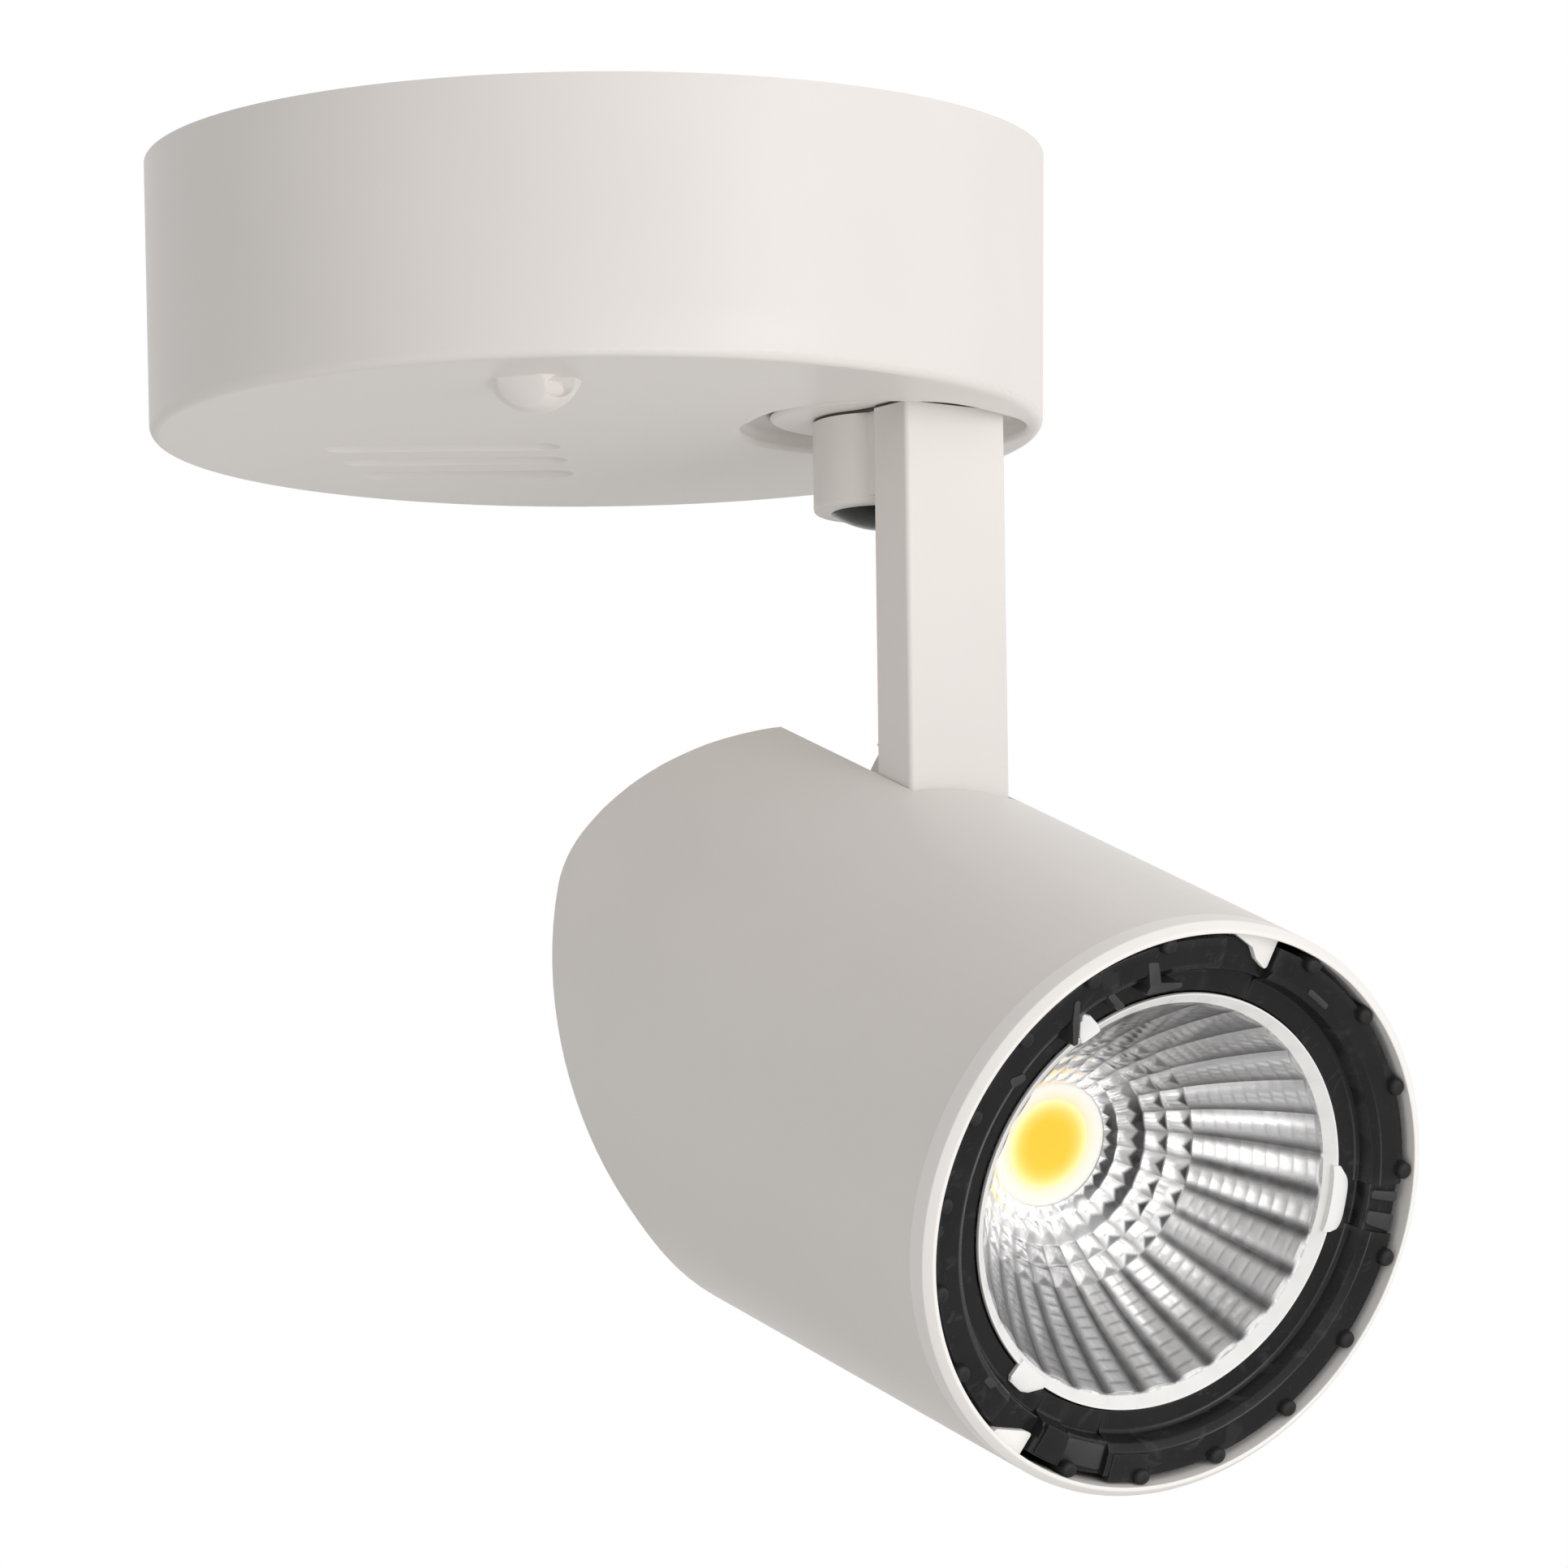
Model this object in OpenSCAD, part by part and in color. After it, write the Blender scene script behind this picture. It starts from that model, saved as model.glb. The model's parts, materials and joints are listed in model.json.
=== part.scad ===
// Ceiling spotlight: round canopy with its driver, a swivel arm that turns
// under the canopy, and a tubular lamp head that tilts on the arm.
// Origin at the centre of the ceiling face, the lamp hangs towards -Z,
// +X points from the canopy centre to the swivel.

/* [Canopy] */
// Diameter of the canopy at its lower edge
canopy_d = 120; // [118:1:130]
// Growth of the canopy radius from its lower edge to the ceiling
canopy_draft = 0.6; // [0:0.1:1.2]
// Height of the canopy, ceiling to underside
canopy_h = 37.2; // [36.6:0.2:40]
// Thickness of the canopy's side wall
canopy_wall = 1.8; // [1.4:0.1:2.2]
// Thickness of the canopy's underside
canopy_floor = 2; // [1.6:0.2:2.4]
// Rounding of the lower edge
canopy_round = 1.4; // [0.8:0.1:1.6]
// Distance from the canopy centre to the swivel
swivel_x = 38.5; // [37:0.5:38.5]
// Radius of the round pocket that the swivel sits in
pocket_r = 19.2; // [19:0.1:19.4]
// Depth of that pocket
pocket_depth = 2.5; // [2.2:0.1:2.8]
// Width of each ventilation slot
vent_w = 4.2; // [3:0.2:5]
// Distance between the ventilation slots
vent_pitch = 11; // [9:0.5:12]

/* [Swivel and arm] */
// Turn of the arm and head about the vertical, 0 is straight outwards
pan_deg = -54.7; // [-168:0.1:168]
// Diameter of the boss under the canopy
boss_d = 18.9; // [18:0.1:19.6]
// How far the boss reaches below the underside
boss_drop = 11.2; // [10.6:0.2:13]
// Height of the black plug's dome
plug_dome = 2.2; // [1:0.2:3]
// Width of the arm, across the head
arm_w = 16.3; // [14:0.1:16.4]
// Thickness of the arm, along the head
arm_t = 7.8; // [7:0.1:8]
// Distance from the turning axis to the middle of the arm
arm_offset = 12.7; // [12.6:0.1:12.8]
// Distance from the underside to the tilt bolt
arm_drop = 76.5; // [70:0.5:90]

/* [Head] */
// Tilt of the head below the horizontal
tilt_deg = 22.4; // [22.4:0.1:90]
// Outer diameter of the head tube
head_d = 77.4; // [77:0.1:79]
// Wall thickness of the head tube
head_wall = 1.5; // [1.4:0.1:1.6]
// Slope of the cut at the rear of the tube
rear_slope = 29.9; // [24:0.1:32]
// Number of ribs round the black ring
ring_ribs = 19; // [12:1:24]
// Number of cooling fins
fins = 24; // [16:1:28]
// Diameter of the yellow light-emitting disc
light_d = 12.7; // [9:0.1:13]

/* [Hidden] */
$fn = 96;

paint = [0.90, 0.885, 0.865];
black = [0.08, 0.08, 0.085];
zinc = [0.72, 0.73, 0.74];
brass = [0.80, 0.66, 0.34];
alu = [0.78, 0.78, 0.79];
nylon = [0.90, 0.90, 0.88];
silver = [0.88, 0.89, 0.90];
yellow = [0.98, 0.82, 0.30];
green = [0.10, 0.36, 0.20];

cr = canopy_d / 2;
zu = -canopy_h;                       // underside
zf = zu + canopy_floor;               // inside face of the underside
zp = zu + pocket_depth;               // lower face of the pocket's floor
zq = zp + 2;                          // upper face of the pocket's floor
plate_t = 1.5;                        // ceiling bracket
inlet = [18, 16];                     // mains cable inlet
cap_pos = [-7.3, -40.6];              // fixing screw under the domed cap
cap_r = 6.15;
cap_h = 4.1;
cap_s = (cap_r * cap_r + cap_h * cap_h) / (2 * cap_h);
boss_r = boss_d / 2;
zb = zu - boss_drop;                  // bottom of the boss
zt = zu + 1;                          // top of the boss and arm
pz = zu - arm_drop;                   // tilt bolt
pt = -58;                             // tilt bolt along the head axis
pn = 12.9;                            // tilt bolt above the head axis
hr = head_d / 2;
hi = hr - head_wall;
eye_r = 5.6;
slot_w = arm_w + 0.5;

// side outline of the rear end, as [distance along the axis, height]
k = tan(rear_slope);
top_r = 14.4;
top_n = 20;
top_t = -100.5;
bot_r = 16;
bot_t = -74.9;
// where the sloping line meets the two roundings
ja = top_n - top_r * sin(rear_slope);
jt = top_t + top_r * (1 - cos(rear_slope));
nb = ja - (bot_t - jt) / k;           // height where the slope would reach bot_t
tb = bot_r * tan(rear_slope / 2);     // length of the rounding along the slope
crown_r = 35.6;
function rear_pts(s = 0) = concat(
  [for (i = [6 : -1 : 1]) let (n = 3.5 * i)
     [top_t + crown_r - sqrt(crown_r * crown_r - n * n) + s, top_n + n]],
  [for (i = [0 : 6]) let (a = rear_slope * i / 6)
     [top_t + top_r * (1 - cos(a)) + s, top_n - top_r * sin(a)]],
  [for (i = [6 : -1 : 0]) let (a = rear_slope * i / 6)
     [bot_t - bot_r * (1 - cos(a)) + s, nb - tb + bot_r * sin(a)]],
  [[bot_t + s, -45]]);

module at_arm() translate([swivel_x, 0, 0]) rotate([0, 0, pan_deg]) children();
module at_head() at_arm() translate([arm_offset, 0, pz]) rotate([0, tilt_deg, 0])
  translate([-pt, 0, -pn]) children();
// turns a shape drawn round Z so that it lies round the head axis
module lie() rotate([0, 90, 0]) children();
// a straight bar of the side outline, drawn as [along, up]
module side(w) rotate([90, 0, 0]) linear_extrude(height = w, center = true) children();
// polar place on the head, measured from the top towards the far side
module round_head(a, r, t) translate([t, r * sin(a), r * cos(a)]) children();
module wire(a, b, r, turn) {
  v = b - a;
  l = norm(v);
  translate(a) rotate([0, acos(v[2] / l), atan2(v[1], v[0])]) cylinder(r = r, h = l, $fn = 24);
  translate(a) rotate(turn) sphere(r = r * 1.07, $fn = 24);
  translate(b) rotate(turn) sphere(r = r * 1.07, $fn = 24);
}
module run(p, r, turn = [0, 0, 0]) for (i = [0 : len(p) - 2]) wire(p[i], p[i + 1], r, turn);

// ---------------------------------------------------------------- canopy

module canopy_shell() color(paint) difference() {
  union() {
    difference() {
      rotate_extrude() {
        polygon([[0, 0], [cr + canopy_draft, 0], [cr, zu + canopy_round], [cr - canopy_round, zu + canopy_round], [cr - canopy_round, zu], [0, zu]]);
        intersection() {
          translate([cr - canopy_round, zu + canopy_round]) circle(r = canopy_round);
          translate([cr - canopy_round, zu]) square([canopy_round, canopy_round + 0.001]);
        }
      }
      translate([0, 0, zf]) cylinder(r = cr - canopy_wall, h = canopy_h);
    }
    // housing of the swivel pocket
    translate([swivel_x, 0, zf - 0.5]) cylinder(r = pocket_r + 1.8, h = zq - zf + 0.5);
    // ledge that hangs on the bracket's hook
    translate([0, cr - canopy_wall - 2.2, -11.2]) intersection() {
      translate([-7, 0, 0]) cube([14, 3.4, 2.2]);
      translate([0, -(cr - canopy_wall - 2.2), 0]) cylinder(r = cr - 0.6, h = 3);
    }
    // posts under the driver
    for (x = [-49.5, 17.5 - 4.6]) translate([x, -2, zf - 0.5]) cylinder(r = 3, h = 2.5);
    // collar round the fixing screw
    translate([cap_pos[0], cap_pos[1], zf - 0.5]) difference() {
      cylinder(r = 6.2, h = 5.5);
      translate([0, 0, 0.4]) cylinder(r = 4.15, h = 6);
    }
  }
  translate([swivel_x, 0, zu - 1]) cylinder(r = pocket_r, h = 1 + pocket_depth);
  translate([swivel_x, 0, 0]) rotate_extrude() difference() {
    translate([pocket_r - 0.1, zu - 0.1]) square([0.9, 0.9]);
    translate([pocket_r + 0.8, zu + 0.8]) circle(r = 0.8);
  }
  translate([swivel_x, 0, zu]) cylinder(r = 6.55, h = 10);
  translate([swivel_x - 12.5, 0, zq - 1.2]) cylinder(r = 1.02, h = 4);
  translate([cap_pos[0], cap_pos[1], zu - 1]) cylinder(r = 2, h = 4);
  // ventilation slots
  for (i = [0 : 2]) translate([-36 + 2.2 * i, 9 + vent_pitch * i - vent_w / 2, zu - 1]) {
    translate([vent_w / 2, 0, 0]) cube([30 - 1.5 * i - vent_w, vent_w, 5]);
    for (x = [vent_w / 2, 30 - 1.5 * i - vent_w / 2]) translate([x, vent_w / 2, 0]) cylinder(r = vent_w / 2, h = 5);
  }
  for (x = [-49.5, 17.5 - 4.6]) translate([x, -2, zf + 0.2]) cylinder(r = 1.25, h = 4);
}

module slot_hole(l, r) {
  translate([-l / 2 + r, 0, -5]) cylinder(r = r, h = 10);
  translate([l / 2 - r, 0, -5]) cylinder(r = r, h = 10);
  translate([-l / 2 + r, -r, -5]) cube([l - 2 * r, 2 * r, 10]);
}

module ceiling_bracket() color(zinc) difference() {
  union() {
    intersection() {
      translate([0, 0, -plate_t]) cylinder(r = 53.5, h = plate_t);
      translate([-54, -48, -plate_t]) cube([108, 103, plate_t]);
    }
    // hook at the far side
    translate([-6, 53.3, -12.8]) cube([12, 1.5, 12.8]);
    translate([-6, 53.3, -12.8]) cube([12, 4, 1.5]);
    translate([-6, 50, -plate_t]) cube([12, 4, plate_t]);
  }
  for (x = [-35, 35]) translate([x, 0, 0]) slot_hole(14, 2.5);
  translate([inlet[0], inlet[1], -5]) cylinder(r = 7, h = 10);
  for (x = [-34, 34]) translate([x, 27, -5]) cylinder(r = 8, h = 10);
  for (x = [-34, 34]) translate([x, -27, -5]) cylinder(r = 8, h = 10);
  translate([22, -34, -5]) cylinder(r = 1.55, h = 10);
  translate([cap_pos[0], cap_pos[1], -5]) cylinder(r = 2.5, h = 10);
}

module fixing_pillar() color(zinc) translate([cap_pos[0], cap_pos[1], 0]) difference() {
  union() {
    translate([0, 0, zf + 0.1]) cylinder(r = 4, h = -plate_t - zf - 0.1);
    translate([0, 0, -plate_t]) cylinder(r = 2.48, h = plate_t);
  }
  translate([0, 0, zf - 1]) cylinder(r = 1.65, h = 14);
}

module canopy_screw() color(zinc) translate([cap_pos[0], cap_pos[1], 0]) difference() {
  union() {
    translate([0, 0, zu]) cylinder(r = 1.6, h = 12);
    translate([0, 0, zu - 2]) cylinder(r = 3.4, h = 2);
  }
  for (a = [0, 90]) rotate([0, 0, a]) translate([-1.8, -0.4, zu - 3]) cube([3.6, 0.8, 2.2]);
}

module canopy_screw_cap() color(paint) translate([cap_pos[0], cap_pos[1], 0]) difference() {
  intersection() {
    translate([0, 0, zu - cap_h + cap_s]) sphere(r = cap_s);
    translate([0, 0, zu - 10]) cylinder(r = cap_r + 1, h = 10);
  }
  translate([0, 0, zu - 2.6]) cylinder(r = 3.8, h = 4);
  // notch for prising the cap off
  rotate([0, 0, -24]) translate([4.2, 0, zu - 0.9]) rotate([0, 90, 0]) cylinder(r = 1.1, h = 4);
}

// ---------------------------------------------------------------- driver

dx = [-46, 9.4];
dy = [-20, 16];
dz = [zf + 2, -13];

module driver_case() color(nylon) difference() {
  union() {
    translate([dx[0], dy[0], dz[0]]) cube([dx[1] - dx[0], dy[1] - dy[0], dz[1] - dz[0]]);
    for (x = [-49.5, 17.5 - 4.6]) {
      translate([x, -2, dz[0]]) cylinder(r = 4, h = 2);
      translate([x < 0 ? x : x - 4, -6, dz[0]]) cube([4, 8, 2]);
    }
  }
  translate([dx[0] + 1.5, dy[0] + 1.5, dz[0] + 1.5]) cube([dx[1] - dx[0] - 3, dy[1] - dy[0] - 3, 40]);
  for (x = [-49.5, 17.5 - 4.6]) translate([x, -2, dz[0] - 1]) cylinder(r = 1.5, h = 4);
  // wire outlets
  translate([dx[1] - 2, 6, -20]) rotate([0, 90, 0]) cylinder(r = 2.4, h = 4);
  translate([-24, dy[1] - 2, -20]) rotate([-90, 0, 0]) cylinder(r = 2.4, h = 4);
}

module driver_lid() color(nylon) union() {
  translate([dx[0], dy[0], dz[1]]) cube([dx[1] - dx[0], dy[1] - dy[0], 1.4]);
  translate([dx[0] + 1.6, dy[0] + 1.6, dz[1] - 1.4]) difference() {
    cube([dx[1] - dx[0] - 3.2, dy[1] - dy[0] - 3.2, 1.5]);
    translate([1.2, 1.2, -1]) cube([dx[1] - dx[0] - 5.6, dy[1] - dy[0] - 5.6, 4]);
  }
}

module driver_board() color(green) translate([dx[0] + 2, dy[0] + 2, dz[0] + 1.6])
  cube([dx[1] - dx[0] - 4, dy[1] - dy[0] - 4, 1.6]);

module driver_transformer() color([0.20, 0.20, 0.22]) translate([-22, -11, dz[0] + 3.2]) difference() {
  cube([16, 18, 13]);
  for (x = [-1, 13]) translate([x, 5, 2]) cube([4, 8, 14]);
}

module driver_capacitors() color([0.12, 0.20, 0.42]) for (p = [[-38, -9, 5], [-38, 6, 4], [2, -10, 4]])
  translate([p[0], p[1], dz[0] + 3.2]) {
    cylinder(r = p[2], h = 12);
    cylinder(r = p[2] - 0.4, h = 12.6);
  }

module driver_screws() color(zinc) for (x = [-49.5, 17.5 - 4.6]) translate([x, -2, 0]) difference() {
  union() {
    translate([0, 0, zf + 0.3]) cylinder(r = 1.2, h = dz[0] + 2 - zf - 0.2);
    translate([0, 0, dz[0] + 2]) cylinder(r = 2.6, h = 1.8);
  }
  translate([-2.8, -0.3, dz[0] + 2.9]) cube([5.6, 0.6, 2]);
}

// ------------------------------------------------- connection to the mains

tb_pos = [-18, 27, -13.5];

module terminal_block() color(nylon) translate(tb_pos) difference() {
  union() {
    cube([25.5, 15, 9]);
    for (i = [0 : 2]) translate([1 + 8.25 * i, 2.5, 8]) cube([7, 10, 4]);
  }
  for (i = [0 : 2]) translate([4.5 + 8.25 * i, 0, 0]) {
    translate([0, -1, 5]) rotate([-90, 0, 0]) cylinder(r = 1.8, h = 17);
    for (y = [4.5, 10.5]) translate([0, y, -1]) cylinder(r = 1.6, h = 6);
  }
}

module terminal_screws() color(brass) translate(tb_pos) for (i = [0 : 2], y = [4.5, 10.5])
  translate([4.5 + 8.25 * i, y, 0.6]) difference() {
    cylinder(r = 1.5, h = 2.6);
    translate([-2, -0.25, -1]) cube([4, 0.5, 1.7]);
  }

module earth_screw() color(brass) translate([22, -34, 0]) difference() {
  union() {
    translate([0, 0, -8]) cylinder(r = 1.5, h = 8);
    translate([0, 0, -4.7]) cylinder(r = 3.1, h = 2.2);
  }
  translate([-4, -0.35, -9]) cube([8, 0.7, 0.9]);
}

module earth_tag() color(brass) translate([22, -34, -2.4]) difference() {
  union() {
    cylinder(r = 3.6, h = 0.8);
    translate([-14, -1.8, 0]) cube([12, 3.6, 0.8]);
  }
  translate([0, 0, -1]) cylinder(r = 1.55, h = 3);
}

module cable_grommet() color(black) translate([inlet[0], inlet[1], 0]) difference() {
  union() {
    translate([0, 0, -plate_t]) cylinder(r = 6.98, h = plate_t);
    translate([0, 0, -plate_t - 2]) cylinder(r = 9, h = 2);
  }
  translate([0, 0, -6]) cylinder(r = 3.6, h = 12);
}

module mains_leads() {
  y = tb_pos[1] + 1.5;
  z = tb_pos[2] + 5;
  x = tb_pos[0] + 4.5;
  color([0.36, 0.20, 0.10]) run([[x, y, z], [x, 20, z], [-24, 19, -18.9], [-24, 14, -18.9], [-24, 8, -19.4]], 0.9, [90, 0, 0]);
  color([0.10, 0.25, 0.55]) run([[x + 8.25, y, z], [x + 8.25, 22.5, z], [-10, 22, -21.2], [-24, 20.5, -21.2], [-24, 14, -21.2], [-24, 12.2, -27]], 0.9, [90, 0, 0]);
}

module output_leads() for (s = [-1, 1]) color(s < 0 ? [0.75, 0.08, 0.06] : black)
  run([[6, 6 + 1.2 * s, -20.3], [15, 6 + 1.2 * s, -19.6], [27, 2 + 1.2 * s, -17.1], [swivel_x, 1.2 * s, -20.6]], 0.8, [0, 90, 0]);

// ---------------------------------------------------------------- swivel

module swivel_bush() color(nylon) translate([swivel_x, 0, 0]) difference() {
  union() {
    translate([0, 0, zp + 0.02]) cylinder(r = 6.52, h = 2);
    translate([0, 0, zq]) cylinder(r = 9, h = 1.2);
  }
  translate([0, 0, zp - 1]) cylinder(r = 5.05, h = 6);
}

module stop_pin() color(zinc) translate([swivel_x - 12.5, 0, zq - 1.1]) cylinder(r = 1, h = 5.6);

module hollow_stem() color(zinc) at_arm() difference() {
  translate([0, 0, zt - 5]) cylinder(r = 4.97, h = -22.6 - (zt - 5));
  translate([0, 0, zt - 6]) cylinder(r = 3.4, h = 30);
}

module swivel_collar() color(paint) at_arm() difference() {
  rotate_extrude() {
    translate([5, zt]) square([9.7, 1.4]);
    translate([5, zt + 0.5]) square([10.2, 0.9]);
    translate([14.7, zt + 0.5]) circle(r = 0.5);
  }
  translate([0, 0, zt - 3]) cylinder(r = 5, h = 8);
}

module tab_washer() color(zinc) at_arm() translate([0, 0, zq + 1.25]) difference() {
  union() {
    cylinder(r = 8.5, h = 1.2);
    translate([0, -1.2, 0]) cube([13.2, 2.4, 1.2]);
  }
  translate([0, 0, -1]) cylinder(r = 5, h = 4);
}

module spring_washer() color(zinc) at_arm() translate([0, 0, zq + 2.45]) difference() {
  cylinder(r = 7.4, h = 1);
  translate([0, 0, -1]) cylinder(r = 5, h = 3);
  translate([0, -0.4, -1]) cube([9, 0.8, 3]);
}

module stem_nut() color(zinc) at_arm() translate([0, 0, zq + 3.45]) difference() {
  cylinder(r = 8.66, h = 3.6, $fn = 6);
  translate([0, 0, -1]) cylinder(r = 5, h = 6);
}

// ---------------------------------------------------------------- arm

au = arm_offset - arm_t / 2;          // rear face of the arm
wu = arm_offset + arm_t / 2;          // front face of the arm

module rounded_bar(x, y, r) {
  translate([-x / 2, -y / 2 + r]) square([x, y - 2 * r]);
  translate([-x / 2 + r, -y / 2]) square([x - 2 * r, y]);
  for (i = [-1, 1], j = [-1, 1]) translate([i * (x / 2 - r), j * (y / 2 - r)]) circle(r = r);
}

module swivel_arm() color(paint) at_arm() difference() {
  union() {
    // boss
    rotate_extrude() {
      translate([0, zb + 0.7]) square([boss_r, zt - zb - 0.7]);
      translate([0, zb]) square([boss_r - 0.7, 2]);
      translate([boss_r - 0.7, zb + 0.7]) circle(r = 0.7);
    }
    // pad between the boss and the bar
    translate([0, -7, zb + 1]) cube([au + 1, 14, zt - zb - 1]);
    // bar
    translate([arm_offset, 0, pz]) linear_extrude(height = zt - pz) rounded_bar(arm_t, arm_w, 0.7);
    // eye at the lower end
    translate([arm_offset, 0, pz]) rotate([90, 0, 0]) cylinder(r = eye_r, h = arm_w, center = true);
  }
  // stem bore and the hollow under it
  translate([0, 0, zt - 8]) cylinder(r = 5, h = 12);
  translate([0, 0, zb - 1]) cylinder(r = 7.1, h = zt - 5 - zb + 1);
  // way for the leads from the boss into the bar
  translate([4, -3, zt - 10]) cube([au - 2, 6, 5]);
  translate([au - 1, -3.6, pz + 9]) cube([1 + 3.4, 7.2, zt - 5 - pz - 9]);
  // bolt hole
  translate([arm_offset, 0, pz]) rotate([90, 0, 0]) cylinder(r = 2.55, h = 30, center = true);
}

module arm_wire_cover() color(paint) at_arm() translate([au, -3.55, pz + 15]) cube([1.05, 7.1, zb - pz - 16.3]);

module arm_leads() at_arm() for (s = [-1, 1]) color(s < 0 ? [0.75, 0.08, 0.06] : black)
  run([[0, 1.2 * s, -23.4], [0, 1.2 * s, zt - 5.4], [2, 1.2 * s, zt - 7.5], [au + 2.2, 1.2 * s, zt - 7.5], [au + 2.2, 1.2 * s, pz + 13.5], [au - 1.5, 1.2 * s, pz + 11]], 0.8);

module boss_plug() color(black) at_arm() {
  translate([0, 0, zb]) cylinder(r = 7.08, h = 2);
  ds = (7.05 * 7.05 + plug_dome * plug_dome) / (2 * plug_dome);
  intersection() {
    translate([0, 0, zb - plug_dome + ds]) sphere(r = ds);
    translate([0, 0, zb - 4]) cylinder(r = 7.05, h = 4.5);
  }
}

// ---------------------------------------------------------------- head

module head_tube() color(paint) at_head() difference() {
  intersection() {
    lie() rotate_extrude() {
      translate([hi, -104]) square([head_wall, 104.8]);
      translate([hi + 0.5, -1]) square([head_wall - 1, 2.3]);
      for (r = [hi + 0.5, hr - 0.5]) translate([r, 0.8]) circle(r = 0.5);
    }
    side(90) polygon(concat(rear_pts(), [[3, -45], [3, 45], [-95, 45]]));
  }
  // slot for the arm
  translate([-110, -slot_w / 2, 5]) cube([110 - 62.9, slot_w, 50]);
  for (a = [100, 180]) round_head(a, 0, -33) rotate([-a, 0, 0]) {
    cylinder(r = 1.25, h = 60);
    translate([0, 0, hr - 0.9]) cylinder(r = 2.5, h = 10);
  }
}

module rear_cover() color(paint) at_head() difference() {
  intersection() {
    lie() translate([0, 0, -110]) cylinder(r = hi - 0.1, h = 60);
    side(90) polygon(concat(rear_pts(1.4), [for (i = [len(rear_pts()) - 1 : -1 : 0]) rear_pts(3.6)[i]]));
  }
  translate([-110, -slot_w / 2, 8.2]) cube([60, slot_w, 50]);
  // air slots
  for (n = [-24, -17, -10, -3], s = [-1, 1]) translate([-100, s * 9.5 - 7, n]) cube([40, 14, 2.4]);
}

module heat_sink() color(alu) at_head() difference() {
  union() {
    lie() translate([0, 0, -35]) cylinder(r = hi - 0.05, h = 4);
    lie() translate([0, 0, -50]) cylinder(r = 14, h = 16);
    for (i = [0 : fins - 1]) rotate([i * 360 / fins, 0, 0]) translate([-50, -0.7, 12]) cube([16, 1.4, hi - 12.8]);
  }
  for (s = [-1, 1]) {
    translate([0, s * 5.5, -3]) lie() translate([0, 0, -51]) cylinder(r = 1.6, h = 11);
    translate([0, s * 16.5, 0]) lie() translate([0, 0, -35.5]) cylinder(r = 1.3, h = 6);
  }
  translate([0, 0, -10.5]) lie() translate([0, 0, -60]) cylinder(r = 2.6, h = 40);
  for (a = [100, 180]) round_head(a, 0, -33) rotate([-a, 0, 0]) translate([0, 0, 29]) cylinder(r = 1.1, h = 20);
}

module led_board() color([0.93, 0.93, 0.92]) at_head() translate([-31, -9.5, -9.5]) cube([1.4, 19, 19]);

module light_disc() color(yellow) at_head() lie() translate([0, 0, -29.6]) cylinder(r = light_d / 2, h = 0.75);

module led_holder() color([0.95, 0.95, 0.94]) at_head() difference() {
  lie() translate([0, 0, -31]) cylinder(r = 20.5, h = 2.4);
  translate([-32, -9.6, -9.6]) cube([2.45, 19.2, 19.2]);
  lie() translate([0, 0, -30.5]) cylinder(r1 = 7, r2 = 8.7, h = 2);
  for (s = [-1, 1]) translate([0, s * 16.5, 0]) lie() translate([0, 0, -33]) cylinder(r = 1.5, h = 6);
  translate([-32, -2, -12.5]) cube([2.45, 4, 4]);
}

module holder_screws() color(zinc) at_head() for (s = [-1, 1]) translate([0, s * 16.5, 0]) difference() {
  union() {
    lie() translate([0, 0, -34.6]) cylinder(r = 1.25, h = 6.2);
    lie() translate([0, 0, -28.6]) cylinder(r = 2.7, h = 1.6);
  }
  for (a = [0, 90]) rotate([a, 0, 0]) translate([-27.8, -1.7, -0.35]) cube([2, 3.4, 0.7]);
}

// inside radius of the bowl at a place on the axis
function bowl(t) = sqrt(72.25 + 26.0 * (t + 28.4));
bowl_t = [for (i = [0 : 12]) -28.4 + 22.8 * pow(i / 12, 1.3)];

module reflector() color(silver) at_head() {
  lie() rotate_extrude() polygon(concat(
    [for (t = bowl_t) [bowl(t), t]],
    [[27.9, -2.7], [27.9, -3.7]],
    [for (i = [12 : -1 : 0]) [bowl(bowl_t[i]) + 0.9, bowl_t[i]]]));
  for (a = [-33, 87, 207]) rotate([-a, 0, 0]) intersection() {
    translate([-3.4, -4.2, 26]) cube([1, 8.4, 6]);
    lie() translate([0, 0, -4]) difference() { cylinder(r = 30.9, h = 4); translate([0, 0, -1]) cylinder(r = 27.4, h = 6); }
  }
}

module front_ring() color(black) at_head() difference() {
  union() {
    lie() rotate_extrude() polygon([
      // shelf round the reflector, step up to the raised outer band
      [28.2, -4.9], [28.2, -3.4], [31.6, -3.4], [31.6, -0.5], [32.1, 0], [35.7, 0], [36.2, -0.5],
      // skirt back to the cooling body
      [36.2, -30.9], [34.7, -30.9], [34.7, -4.9]]);
    for (i = [0 : ring_ribs - 1]) rotate([-40.5 - i * 360 / ring_ribs, 0, 0]) translate([0, 0, hi - 1.1]) lie()
      translate([0, 0, -30.8]) cylinder(r = 1.05, h = 31.7);
  }
  // two notches in the raised band
  for (a = [8.1, 205]) rotate([-a, 0, 0]) translate([-7, -2.4, 32.8]) cube([9, 4.8, 5]);
}

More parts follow.
